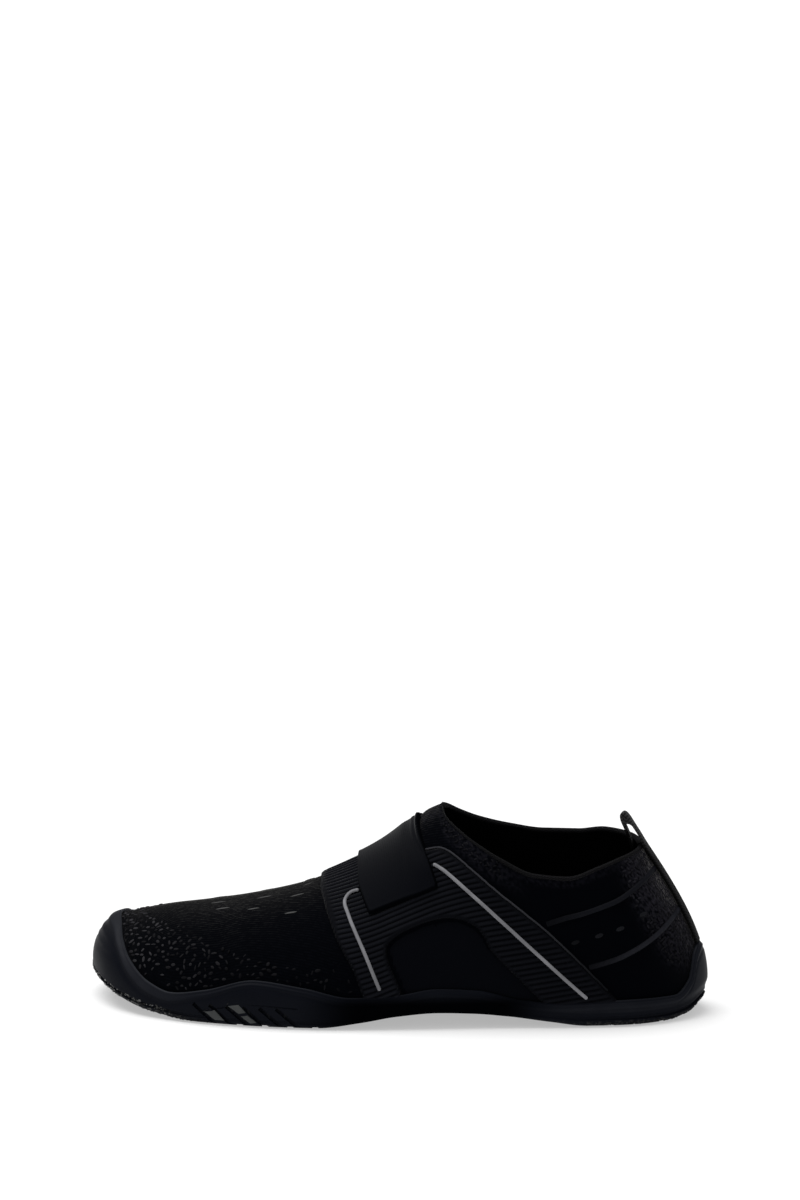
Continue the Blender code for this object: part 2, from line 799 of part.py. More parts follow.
def main():
    """Builds the shoe."""
    for old in list(bpy.data.objects):
        bpy.data.objects.remove(old)
    for name in ("slip_on_shoe", "cutters"):
        bpy.context.scene.collection.children.link(bpy.data.collections.new(name))

    sole = outsole()
    cut(sole, lug_cutter(), "DIFFERENCE")
    cut(sole, tread_cutter(), "DIFFERENCE")
    finish(sole, "outsole_rubber", *RUBBER)

    finish(insole(), "insole_foam", *FOAM)

    upper = grid_object("upper", skin(0.0))
    shell = upper.modifiers.new("wall", "SOLIDIFY")
    shell.thickness = UPPER_WALL * MM
    shell.offset = -1.0
    finish(upper, "upper_knit", *KNIT)

    saddle_outline = side_outline(SADDLE_FRONT, SADDLE_WINDOW, SADDLE_REAR)
    saddle = overlay("saddle", WRAP_GAP, SADDLE_THICKNESS, saddle_outline)
    finish(saddle, "saddle_rib", *RIBBED_KNIT)

    strap = overlay("strap", SADDLE_OUTSIDE + WRAP_GAP, STRAP_THICKNESS, side_outline(STRAP_OUTLINE))
    finish(strap, "strap_elastic", *ELASTIC)

    for name, rows in (("heel_stripe_upper", UPPER_STRIPE), ("heel_stripe_lower", LOWER_STRIPE)):
        stripe = overlay(name, GAP, STRIPE_THICKNESS, band_outline(rows, STRIPE_WIDTH))
        finish(stripe, name + "_weld", *WELD)

    for side in ("lateral", "medial"):
        for end, rows in (("front", FRONT_PIPING), ("rear", REAR_PIPING)):
            name = f"piping_{end}_{side}"
            finish(piping(name, side, rows), name + "_reflective", *REFLECTIVE)

    finish(heel_tape(), "heel_tape_webbing", *WEBBING)


if __name__ == "__main__":
    main()
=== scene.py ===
"""Looks of a left slip-on water shoe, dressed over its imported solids.

The shoe's own sizes are in millimetres: a station runs from the toe tip to the heel, an offset is
negative on the outer (lateral) side, and a height starts at the floor. The scene is in metres.
"""

import logging
from collections.abc import Callable, Sequence
from dataclasses import dataclass, field
from enum import Enum
from functools import partialmethod
from typing import Any

import bpy
import numpy as np
from mathutils import Matrix, Vector


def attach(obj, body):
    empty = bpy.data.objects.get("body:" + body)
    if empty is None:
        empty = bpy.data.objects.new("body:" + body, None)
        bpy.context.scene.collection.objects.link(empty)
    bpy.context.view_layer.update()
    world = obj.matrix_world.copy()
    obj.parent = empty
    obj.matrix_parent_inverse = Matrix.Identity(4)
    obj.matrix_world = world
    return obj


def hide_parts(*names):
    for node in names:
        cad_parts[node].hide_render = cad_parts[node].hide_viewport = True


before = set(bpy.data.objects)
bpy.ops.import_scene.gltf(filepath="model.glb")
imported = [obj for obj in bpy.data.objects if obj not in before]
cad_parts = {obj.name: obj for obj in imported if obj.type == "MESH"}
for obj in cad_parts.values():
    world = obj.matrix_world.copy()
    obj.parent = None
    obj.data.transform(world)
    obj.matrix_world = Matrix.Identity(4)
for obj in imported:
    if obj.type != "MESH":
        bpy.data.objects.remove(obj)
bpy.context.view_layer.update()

LOG = logging.getLogger("shoe")
MM = 0.001
BODY = "root"

Array = np.ndarray
Piece = bpy.types.Object
Material = bpy.types.Material
Colour = tuple[float, float, float]
UP = np.array([0.0, 0.0, 1.0])
REARWARD = np.array([1.0, 0.0, 0.0])
LEVEL = np.array([1.0, 1.0, 0.0])


class Side(Enum):
    """The two sides of the shoe."""

    LATERAL = "lateral"
    MEDIAL = "medial"

    @property
    def sign(self) -> float:
        """Which way its offsets run."""
        return -1 if self is Side.LATERAL else 1


class Spread(Enum):
    """How a set of small knitted marks is laid out."""

    TOE_FLECKS = "toe_flecks"
    HEEL_TUFTS = "heel_tufts"


def smoothstep(low: float, high: float, value: Array) -> Array:
    """A soft step from 0 at low to 1 at high."""
    t = np.clip((np.asarray(value, float) - low) / (high - low), 0, 1)
    return t * t * (3 - 2 * t)


def unit(vectors: Array) -> Array:
    """Vectors scaled to length one along the last axis."""
    return vectors / np.maximum(np.linalg.norm(vectors, axis=-1, keepdims=True), 1e-12)


def bell(value: Array, middle: float, width: float) -> Array:
    """A soft bump of height 1 round a middle."""
    return np.exp(-(((value - middle) / width) ** 2))


def wrapped(values: Array) -> Array:
    """An array whose first row comes again at the end, to close a ring."""
    return np.concatenate([values, values[:1]])


def distance_along(points: Array) -> Array:
    """How far along a line of points each of them lies."""
    return np.concatenate([[0], np.cumsum(np.linalg.norm(np.diff(points, axis=0), axis=1))])


def relaxed(lines: Array, times: int) -> Array:
    """Lines of points, smoothed a number of times between their ends."""
    for _ in range(times):
        lines[..., 1:-1, :] = (lines[..., :-2, :] + 2 * lines[..., 1:-1, :] + lines[..., 2:, :]) / 4
    return lines


def bead_sizes(*axes: Array | float) -> Array:
    """Length, width and depth of beads in metres, from millimetres."""
    return np.column_stack(np.broadcast_arrays(*axes)) * MM


def scaled(colour: Colour, share: float) -> Colour:
    """A colour made darker or lighter."""
    return tuple(c * share for c in colour)


@dataclass(frozen=True)
class Stations:
    """A short table with a row for each station along the shoe."""

    columns: str
    rows: tuple[tuple[float, ...], ...]

    def column(self, name: str) -> Array:
        """One column of the table."""
        return np.array([row[self.columns.split().index(name)] for row in self.rows], float)

    def at(self, name: str, place: Array) -> Array:
        """Reads a column between its rows, with no overshoot.

        Args:
            name: the column's name.
            place: stations in the unit of the table's station column.

        Returns:
            The column's value at each station.
        """
        x, y = self.column("station"), self.column(name)
        step = np.diff(x)
        rise = np.diff(y) / step
        slope = np.concatenate([[rise[0]], np.zeros(len(x) - 2), [rise[-1]]])
        for i in range(1, len(x) - 1):
            if rise[i - 1] * rise[i] > 0:
                before, after = 2 * step[i] + step[i - 1], step[i] + 2 * step[i - 1]
                slope[i] = (before + after) / (before / rise[i - 1] + after / rise[i])
        place = np.clip(place, x[0], x[-1])
        i = np.clip(np.searchsorted(x, place) - 1, 0, len(step) - 1)
        t = (place - x[i]) / step[i]
        bend = step[i] * ((t**3 - 2 * t**2 + t) * slope[i] + (t**3 - t**2) * slope[i + 1])
        return y[i] + (3 * t**2 - 2 * t**3) * (y[i + 1] - y[i]) + bend


def closed_loop(points: Array, samples: int) -> Array:
    """A smooth closed curve through points.

    Args:
        points: the points, one to a row.
        samples: how many samples each span gets.

    Returns:
        The samples of the curve.
    """
    ahead = np.roll(points, -1, axis=0)
    chord = np.linalg.norm(ahead - points, axis=1)[:, None] ** 0.5
    before = np.roll(chord, 1, axis=0)
    leaving = (ahead - points) / chord
    slope = (np.roll(leaving, 1, axis=0) * chord + leaving * before) / (before + chord)
    spans = []
    for i in range(len(points)):
        t = np.linspace(0, 1, samples, endpoint=False)[:, None]
        bend = (t**3 - 2 * t**2 + t) * slope[i] + (t**3 - t**2) * slope[(i + 1) % len(points)]
        spans.append(points[i] + (3 * t**2 - 2 * t**3) * (ahead[i] - points[i]) + chord[i] * bend)
    return np.concatenate(spans)


@dataclass(frozen=True)
class SideLine:
    """A line of the side view: rows of station and height in millimetres."""

    rows: tuple[tuple[float, float], ...]

    def path(self, samples: int = 12) -> Array:
        """A smooth open path through the rows."""
        points = np.array(self.rows, float)
        there_and_back = np.concatenate([points, points[-2:0:-1]])
        return closed_loop(there_and_back, samples)[: samples * (len(points) - 1) + 1]

    def band(self, width: float, samples: int = 12) -> Array:
        """The closed outline of a band of this width along the path."""
        path = self.path(samples)
        run = unit(np.gradient(path, axis=0))
        aside = np.column_stack([-run[:, 1], run[:, 0]]) * width / 2
        return np.concatenate([path + aside, (path - aside)[::-1]])


def nearest_on(path: Array, points: Array, closed: bool = False) -> tuple[Array, Array]:
    """Nearest places on a path of straight spans.

    Args:
        path: the corners of the path, one to a row.
        points: the points to measure from, in an array whose last axis is the place.
        closed: whether the last corner joins the first.

    Returns:
        The distance of every point, and the nearest place on the path.
    """
    corners = wrapped(path) if closed else path
    best = np.full(points.shape[:-1], np.inf)
    place = np.zeros(points.shape)
    for start, end in zip(corners[:-1], corners[1:]):
        run = end - start
        share = np.clip(((points - start) @ run) / max(run @ run, 1e-12), 0, 1)
        foot = start + share[..., None] * run
        distance = np.linalg.norm(points - foot, axis=-1)
        closer = distance < best
        best = np.where(closer, distance, best)
        place = np.where(closer[..., None], foot, place)
    return best, place


def inside_of(outline: Array, points: Array) -> Array:
    """Whether points of the side view lie inside a closed outline."""
    inside = np.zeros(points.shape[:-1], bool)
    x, y = points[..., 0], points[..., 1]
    for start, end in zip(outline, np.roll(outline, -1, axis=0)):
        if start[1] == end[1]:
            continue
        crosses = (start[1] > y) != (end[1] > y)
        meet = start[0] + (y - start[1]) * (end[0] - start[0]) / (end[1] - start[1])
        inside ^= crosses & (x < meet)
    return inside


@dataclass
class Columns:
    """Columns of the last: the side, the foot's station and the foot's offset of each."""

    lateral: Array
    low: Array
    offset: Array

    def by_side(self, rows: Stations, place: Array, share: float) -> Array:
        """A table's lateral or medial column at stations in millimetres, by the side of each column."""
        percent = place / share
        return np.where(self.lateral, rows.at("lateral", percent), rows.at("medial", percent))


@dataclass
class Patch:
    """A piece of the last's surface as a grid of points."""

    points: Array
    normals: Array
    uv: Array

    def lifted(self, height: Array | float) -> Array:
        """The grid moved outwards by a height in millimetres."""
        lift = np.broadcast_to(np.asarray(height, float), self.points.shape[:2])
        return self.points + self.normals * lift[..., None]

    @property
    def side_view(self) -> Array:
        """Station and height of every point."""
        return self.points[..., (0, 2)]

    def trimmed(self, outline: Array) -> tuple[Array, Array]:
        """Trims the grid to an outline of the side view, moving its border onto the line.

        Args:
            outline: the closed outline.

        Returns:
            Which faces are kept, and how far inside the outline every point lies.
        """
        flat = self.side_view
        distance, foot = nearest_on(outline, flat, closed=True)
        inside = inside_of(outline, flat)
        middle = (flat[:-1, :-1] + flat[1:, :-1] + flat[:-1, 1:] + flat[1:, 1:]) / 4
        kept = inside_of(outline, middle)
        touched = np.zeros(inside.shape, int)
        owned = np.zeros(inside.shape, int)
        for i in (0, 1):
            for j in (0, 1):
                rows = slice(i, touched.shape[0] - 1 + i)
                lines = slice(j, touched.shape[1] - 1 + j)
                touched[rows, lines] += kept
                owned[rows, lines] += 1
        border = (touched > 0) & (touched < owned)
        along, up = np.gradient(self.points, axis=0), np.gradient(self.points, axis=1)
        up[:, -1] = 0
        run, rise = along[..., (0, 2)], up[..., (0, 2)]
        wish = foot - flat
        damping = 0.1**2
        p = (run * run).sum(axis=-1) + damping
        q = (run * rise).sum(axis=-1)
        r = (rise * rise).sum(axis=-1) + damping
        f, g = (run * wish).sum(axis=-1), (rise * wish).sum(axis=-1)
        u = np.clip((r * f - q * g) / (p * r - q * q), -1, 1)
        v = np.clip((p * g - q * f) / (p * r - q * q), -1, 1)
        move = u[..., None] * along + v[..., None] * up
        self.points = np.where(border[..., None], self.points + move, self.points)
        depth = np.where(inside, distance, -distance)
        return kept, np.where(border, 0, depth)


@dataclass
class Last:
    """The form of the foot that the shoe is built on."""

    length: float = 276.0
    ball_width: float = 92.0
    instep_height: float = 90.5
    heel_height: float = 75.0
    gap: float = 0.35
    wrap_gap: float = 0.45
    sole_wall: float = 2.2
    toe_fan: float = 18.0
    fan_end: float = 60.0
    spine_fan: float = 21.0
    last_station: float = 271.0
    footprint: Stations = Stations("station lateral medial", (
        (1.1, 12, 12), (3.3, -12, 32.5), (8, -28.5, 41), (16.3, -41.5, 46), (27.2, -49.5, 48),
        (38, -51.5, 44.5), (50.7, -48, 35.5), (65.2, -41.5, 29), (79.7, -36.5, 29), (89.9, -29.5, 26.5),
        (95.6, -17.5, 18), (98.4, 0, 0),
    ))
    ridge: Stations = Stations("station offset height", (
        (7.2, 10, 41.2), (12.7, 8.7, 45), (20, 7.6, 48.4), (27.2, 6.5, 52.4), (34.4, 6, 58.4),
        (41.7, 5.4, 68.2), (47.1, 4.9, 77.4), (51.5, 4.3, 88), (54.2, 4.3, 96.6), (56.5, 4.3, 100),
        (60, 3.8, 105), (65, 3, 110), (72, 1.5, 115), (80.8, 0, 117.5),
    ))
    collar: Stations = Stations("station lateral medial", (
        (56.5, 120.7, 120.7), (57.6, 117, 116.8), (59, 114, 112.8), (62.3, 107, 107.3), (67, 98, 103),
        (72.5, 89.8, 100.2), (77.9, 88.3, 100.4), (82.6, 93.5, 103), (86.4, 98, 102), (89.1, 100, 100),
    ))
    section: Stations = Stations("station lean slope low_reach high_reach", (
        (1.1, 4, 6, 33, 37), (15, 8, 4, 38, 42), (30, 7, 4, 38, 40), (45, 5, 6, 41, 32), (56.5, 4, 6, 44, 27),
        (68, 4, 6, 48, 25), (78, 5, 10, 48, 25), (88, 6, 30, 42, 27), (98.4, 7, 56, 26, 33),
    ))
    rim: Stations = Stations("station lateral medial", (
        (1.1, 35.6, 35.6), (3, 33.5, 34.5), (5.1, 28.8, 31.5), (7.3, 22.8, 26.5), (10.9, 15.6, 18),
        (14.5, 12.6, 13.2), (20, 15, 15), (28.3, 20.5, 20), (36.2, 18.2, 17.5), (43.5, 14.5, 15.2),
        (50.7, 15.5, 17), (57.2, 18.2, 19.5), (63.4, 17.3, 18), (70.7, 12.8, 13.4), (76.8, 11.4, 11.6),
        (88.8, 12.2, 12.2), (94.4, 12.1, 12.1), (96.4, 17.5, 17.5), (97.6, 28, 28), (98.4, 31.5, 31.5),
    ))
    underside: Stations = Stations("station lateral middle medial footbed groove", (
        (1.1, 11.4, 11.4, 11.4, 15.2, 0.9), (5.4, 6.2, 6.2, 6.2, 11.2, 0.9), (10.9, 2.3, 2.3, 2.3, 7.7, 0.9),
        (19, 0, 0, 0, 5.6, 0.6), (38, 0, 0, 0, 5.6, 0.3), (45.3, 2.6, 1.2, 2.8, 7.2, 0),
        (50.7, 5.2, 3, 6, 9.6, 0), (57, 6.6, 4.6, 8.2, 11.2, 0), (63, 6, 4.4, 8, 11, 0),
        (69, 4.4, 2.6, 5.6, 9.6, 0), (75, 2, 0.8, 2.4, 7.8, 0.3), (81, 0, 0, 0, 7, 0.6),
        (92.5, 0, 0, 0, 7, 0.9), (96.4, 1.6, 1.6, 1.6, 8, 0.9), (98.4, 6, 6, 6, 11, 0.9),
    ))
    edges: dict[Side, Array] = field(init=False)
    centre: Array = field(init=False)

    def __post_init__(self) -> None:
        """Works out the feather edge and the middle of the floor."""
        place = self.footprint.column("station") * self.length / 100
        sides = [np.column_stack([place, self.footprint.column(s.value) * self.ball_width / 100]) for s in Side]
        loop = np.concatenate([sides[0], sides[1][-2:0:-1]])
        curve = closed_loop(loop, 80)
        turn = len(curve) * (len(place) - 1) // len(loop)
        self.edges = {
            Side.LATERAL: curve[: turn + 1],
            Side.MEDIAL: np.concatenate([curve[turn:], curve[:1]])[::-1],
        }
        self.centre = np.zeros(3)
        columns = self.ring(360)
        rim, _ = self.shares(columns)
        wall = self.patch(columns, np.linspace(0, 1, 9) * rim[:, None], True)
        outside = wall.lifted(self.wrap_gap + self.sole_wall)
        self.centre = (outside.min(axis=(0, 1)) + outside.max(axis=(0, 1))) / 2 * LEVEL

    def to_scene(self, points: Array) -> Array:
        """Shoe millimetres to scene metres."""
        return (np.asarray(points, float) - self.centre) * MM

    @property
    def percent(self) -> float:
        """Millimetres in one percent of the length."""
        return self.length / 100

    def foot_offset(self, side: Side, low: Array) -> Array:
        """Offset of the feather edge at stations along one side."""
        edge = self.edges[side]
        return np.interp(low, edge[:, 0], edge[:, 1])

    def ring(self, count: int) -> Columns:
        """Even columns round the footprint, at the same stations on both sides.

        Args:
            count: how many columns the ring has, an even number.

        Returns:
            The columns from the toe along the lateral side to the heel and back.
        """
        place = np.concatenate([edge[:, 0] for edge in self.edges.values()])
        place = np.unique(np.round(place, 6))
        run = np.zeros(len(place))
        for side in Side:
            edge = np.column_stack([place, self.foot_offset(side, place)])
            run += distance_along(edge)
        low = np.interp(np.linspace(0, run[-1], count // 2 + 1), run, place)
        lateral = self.foot_offset(Side.LATERAL, low)
        medial = self.foot_offset(Side.MEDIAL, low)
        return Columns(
            np.arange(count) <= count // 2,
            np.concatenate([low, low[-2:0:-1]]),
            np.concatenate([lateral, medial[-2:0:-1]]),
        )

    def run(self, side: Side, start: float, end: float, count: int) -> Columns:
        """Even columns along one side between two stations of the foot."""
        low = np.linspace(start, end, count)
        return Columns(np.full(count, side is Side.LATERAL), low, self.foot_offset(side, low))

    def controls(self, columns: Columns) -> tuple[Array, Array, Array, Array]:
        """The four control points of every column's section."""
        low = columns.low
        opening = self.collar.column("station")[0] * self.percent
        back = self.ridge.column("station")[-1] * self.percent
        heel = self.footprint.column("station")[-1] * self.percent
        toe_lean = self.toe_fan * np.clip(1 - low / self.fan_end, 0, None) ** 2
        heel_lean = (heel - back) * (np.clip(low - opening, 0, None) / (heel - opening)) ** 2
        high = low + toe_lean - heel_lean
        place = low / self.percent
        footing = self.underside.at("footbed", place) + self.gap
        foot = np.column_stack([low, columns.offset, footing])
        ridge_offset = self.ridge.at("offset", high / self.percent) * self.ball_width / 100
        ridge_height = self.ridge.at("height", high / self.percent) * self.instep_height / 100
        top = np.column_stack([high, ridge_offset, ridge_height])
        lean = np.radians(self.section.at("lean", place))[:, None]
        slope = np.radians(self.section.at("slope", place))[:, None]
        span = np.linalg.norm(top - foot, axis=1, keepdims=True)
        outward = unit((foot - top) * LEVEL)
        low_reach = span * self.section.at("low_reach", place)[:, None] / 100
        high_reach = span * self.section.at("high_reach", place)[:, None] / 100
        low_bend = foot + low_reach * (np.cos(lean) * UP + np.sin(lean) * outward)
        high_bend = top + high_reach * (np.cos(slope) * outward - np.sin(slope) * UP)
        return foot, low_bend, high_bend, top

    def surface(self, columns: Columns, share: Array) -> Array:
        """Points of the last at shares of the way up each column."""
        foot, low_bend, high_bend, top = (p[:, None] for p in self.controls(columns))
        t = share[..., None]
        return (1 - t) ** 3 * foot + 3 * t * (1 - t) ** 2 * low_bend + 3 * t**2 * (1 - t) * high_bend + t**3 * top

    def shares(self, columns: Columns) -> tuple[Array, Array]:
        """Shares at which every column passes the rubber's rim and ends.

        Args:
            columns: the columns.

        Returns:
            The shares at the rim, and at the ridge or the collar.
        """
        fine = np.linspace(0, 1, 401)
        curve = self.surface(columns, np.tile(fine, (len(columns.low), 1)))
        rim_height = columns.by_side(self.rim, columns.low, self.percent)
        rim = np.array([np.interp(h, c[:, 2], fine) for h, c in zip(rim_height, curve)])
        opening = self.collar.column("station")[0] * self.percent
        end = np.ones(len(rim))
        for i in np.nonzero(columns.low > opening)[0]:
            name = Side.LATERAL.value if columns.lateral[i] else Side.MEDIAL.value
            limit = self.collar.at(name, curve[i, :, 0] / self.percent) * self.heel_height / 100
            end[i] = np.interp(0, curve[i, :, 2] - limit, fine)
        return rim, end

    def facing(self, columns: Columns, share: Array, closed: bool) -> tuple[Array, Array]:
        """Points of a grid of the surface, and the outward directions there."""
        points = self.surface(columns, share)
        if closed:
            along = np.roll(points, -1, axis=0) - np.roll(points, 1, axis=0)
        else:
            along = np.gradient(points, axis=0) * (1 if columns.lateral[0] else -1)
        return points, unit(np.cross(along, np.gradient(points, axis=1)))

    def patch(self, columns: Columns, share: Array, closed: bool) -> Patch:
        """A grid of the surface with its outward directions.

        Args:
            columns: the columns of the grid.
            share: the shares of the rows, a line for every column.
            closed: whether the columns form a ring.

        Returns:
            The grid.
        """
        points, normals = self.facing(columns, share, closed)
        on_ridge = share[:, -1] > 0.999999
        if closed:
            across = normals[(-np.arange(len(points))) % len(points), -2]
        else:
            side = Side.MEDIAL if columns.lateral[0] else Side.LATERAL
            other = Columns(~columns.lateral, columns.low, self.foot_offset(side, columns.low))
            across = self.facing(other, share, False)[1][:, -2]
        normals[on_ridge, -1] = unit(normals[:, -2] + across)[on_ridge]
        girth = np.linalg.norm(np.diff(points, axis=1), axis=2)
        girth = np.concatenate([np.zeros((len(points), 1)), np.cumsum(girth, axis=1)], axis=1)
        around = distance_along(points[:, 0])
        uv = np.stack([np.broadcast_to(around[:, None], girth.shape), girth], axis=2)
        return Patch(points, normals, uv)

    def wall(self, side: Side, start: float, end: float, columns: int, rows: int, below: float = 1.5) -> Patch:
        """A grid over one side of the form, from just below the rubber's rim to the top line.

        Args:
            side: the side.
            start: the station where it starts.
            end: the station where it ends.
            columns: how many columns it has.
            rows: how many rows it has.
            below: how far below the rim it starts.

        Returns:
            The grid.
        """
        line = self.run(side, start, end, columns)
        rim, _ = self.shares(line)
        foot, _, _, high = self.controls(line)
        low = np.clip(rim - below / np.linalg.norm(high - foot, axis=1), 0, None)
        share = low[:, None] + (1 - low)[:, None] * np.linspace(0, 1, rows)
        return self.patch(line, share, False)

    def on_wall(self, side: Side, places: Array, height: Array | float) -> tuple[Array, Array]:
        """Points of one side at stations and heights of the side view.

        Args:
            side: the side.
            places: rows of station and height.
            height: how far each point stands off the surface.

        Returns:
            The points and the outward directions there.
        """
        places = np.atleast_2d(places)
        start, end = places[:, 0].min() - 12, min(places[:, 0].max() + 45, self.last_station)
        patch = self.wall(side, start, end, 240, 160, 4)
        flat = patch.side_view.reshape(-1, 2)
        found, facing = [], []
        for place in places:
            near = np.argsort(((flat - place) ** 2).sum(axis=1))[:8]
            weight = 1 / (1e-3 + np.linalg.norm(flat[near] - place, axis=1))
            weight /= weight.sum()
            found.append(weight @ patch.points.reshape(-1, 3)[near])
            facing.append(weight @ patch.normals.reshape(-1, 3)[near])
        facing = unit(np.array(facing))
        lift = np.broadcast_to(np.asarray(height, float), len(places))
        return np.array(found) + facing * lift[:, None], facing

    def nearest(self, side: Side, places: Array) -> tuple[Array, Array, Array]:
        """Points of one side nearest to places, with the directions along and out of the surface."""
        patch = self.wall(side, places[:, 0].min() - 15, places[:, 0].max() + 15, 160, 240)
        along = unit(np.gradient(patch.points, axis=0)).reshape(-1, 3)
        flat, facing = patch.points.reshape(-1, 3), patch.normals.reshape(-1, 3)
        found = [int(((flat - place) ** 2).sum(axis=1).argmin()) for place in places]
        return flat[found], along[found], facing[found]

    def spine(self, columns: Columns) -> Array:
        """Middle line of the footprint under each column, as station and offset."""
        low = columns.low
        ahead = self.spine_fan * np.clip(1 - (low - low.min()) / self.fan_end, 0, None) ** 2
        behind = self.spine_fan * np.clip(1 - (low.max() - low) / self.fan_end, 0, None) ** 2
        place = low + ahead - behind
        middle = (self.foot_offset(Side.LATERAL, place) + self.foot_offset(Side.MEDIAL, place)) / 2
        return np.column_stack([place, middle])


def pick(piece: Piece) -> None:
    """Makes one object the only selected and the active one."""
    bpy.ops.object.select_all(action="DESELECT")
    piece.select_set(True)
    bpy.context.view_layer.objects.active = piece


def lay_grid(name: str, points: Array, uv: Array | None = None) -> Piece:
    """Adds a grid and lays it over points of the scene.

    Args:
        name: the piece's name.
        points: the grid's points in metres, by column and row.
        uv: the pattern's place at every point, in millimetres.

    Returns:
        The object.
    """
    columns, rows = points.shape[:2]
    bpy.ops.object.select_all(action="DESELECT")
    bpy.ops.mesh.primitive_grid_add(x_subdivisions=columns - 1, y_subdivisions=rows - 1, size=2)
    piece = bpy.context.object
    piece.name = piece.data.name = name
    mesh = piece.data
    flat = np.zeros(len(mesh.vertices) * 3, np.float32)
    mesh.vertices.foreach_get("co", flat)
    flat = flat.reshape(-1, 3)
    i = np.rint((flat[:, 0] + 1) / 2 * (columns - 1)).astype(int)
    j = np.rint((flat[:, 1] + 1) / 2 * (rows - 1)).astype(int)
    mesh.vertices.foreach_set("co", points[i, j].astype(np.float32).ravel())
    if uv is not None:
        corner = np.zeros(len(mesh.loops), np.int32)
        mesh.loops.foreach_get("vertex_index", corner)
        mesh.uv_layers[0].data.foreach_set("uv", uv[i[corner], j[corner]].astype(np.float32).ravel())
    mesh.update()
    return piece


def paint_points(piece: Piece, name: str, values: Array) -> None:
    """Stores a number for every point of an unmerged grid, by column and row."""
    assert values.size == len(piece.data.vertices)
    layer = piece.data.attributes.new(name, "FLOAT", "POINT")
    layer.data.foreach_set("value", values.T.reshape(-1).astype(np.float32))


def keep_faces(piece: Piece, kept: Array) -> None:
    """Deletes the faces of an unmerged grid that are not kept, by column and row."""
    mesh = piece.data
    pick(piece)
    mesh.polygons.foreach_set("select", ~kept.T.reshape(-1))
    mesh.vertices.foreach_set("select", np.zeros(len(mesh.vertices), bool))
    mesh.edges.foreach_set("select", np.zeros(len(mesh.edges), bool))
    bpy.ops.object.mode_set(mode="EDIT")
    bpy.ops.mesh.select_mode(type="FACE")
    bpy.ops.object.mode_set(mode="OBJECT")
    mesh.polygons.foreach_set("select", ~kept.T.reshape(-1))
    bpy.ops.object.mode_set(mode="EDIT")
    bpy.ops.mesh.delete(type="FACE")
    bpy.ops.mesh.select_mode(type="VERT")
    bpy.ops.object.mode_set(mode="OBJECT")


def close_up(piece: Piece, outward: Array | None = None, merge: float = 1e-6) -> None:
    """Merges doubled points and turns the faces outwards.

    Args:
        piece: the object.
        outward: a direction that most of an open sheet's faces look along, or None for a closed shape.
        merge: the distance within which points are merged, in metres.
    """
    pick(piece)
    bpy.ops.object.mode_set(mode="EDIT")
    bpy.ops.mesh.select_all(action="SELECT")
    bpy.ops.mesh.remove_doubles(threshold=merge)
    bpy.ops.mesh.delete_loose()
    bpy.ops.mesh.select_all(action="SELECT")
    bpy.ops.mesh.normals_make_consistent(inside=False)
    bpy.ops.object.mode_set(mode="OBJECT")
    if outward is not None:
        facing = np.zeros(len(piece.data.polygons) * 3, np.float32)
        piece.data.polygons.foreach_get("normal", facing)
        if (facing.reshape(-1, 3) @ outward).sum() < 0:
            bpy.ops.object.mode_set(mode="EDIT")
            bpy.ops.mesh.select_all(action="SELECT")
            bpy.ops.mesh.flip_normals()
            bpy.ops.object.mode_set(mode="OBJECT")


def drop_flaps(piece: Piece) -> None:
    """Splits a cut piece into triangles and deletes the flat flaps that the cuts leave."""
    pick(piece)
    bpy.ops.object.mode_set(mode="EDIT")
    bpy.ops.mesh.select_all(action="SELECT")
    bpy.ops.mesh.remove_doubles(threshold=1e-6)
    bpy.ops.mesh.quads_convert_to_tris()
    bpy.ops.mesh.select_mode(type="EDGE")
    bpy.ops.mesh.select_all(action="DESELECT")
    bpy.ops.mesh.select_non_manifold(use_multi_face=False, use_non_contiguous=False, use_verts=False)
    bpy.ops.mesh.delete(type="EDGE")
    bpy.ops.mesh.select_mode(type="VERT")
    bpy.ops.object.mode_set(mode="OBJECT")


def join_pieces(name: str, pieces: Sequence[Piece]) -> Piece:
    """Joins pieces into one object of this name."""
    pick(pieces[0])
    for piece in pieces:
        piece.select_set(True)
    bpy.ops.object.join()
    joined = bpy.context.object
    joined.name = joined.data.name = name
    return joined


def modify(piece: Piece, kind: str, settings: dict[str, Any]) -> None:
    """Adds a modifier with these settings and applies it."""
    pick(piece)
    step = piece.modifiers.new(kind.lower(), kind)
    for name, value in settings.items():
        setattr(step, name, value)
    bpy.ops.object.modifier_apply(modifier=step.name)


def shade_smooth(piece: Piece, degrees: float = 60.0) -> None:
    """Shades a piece smooth, but for edges sharper than an angle."""
    pick(piece)
    bpy.ops.object.shade_smooth_by_angle(angle=np.radians(degrees))


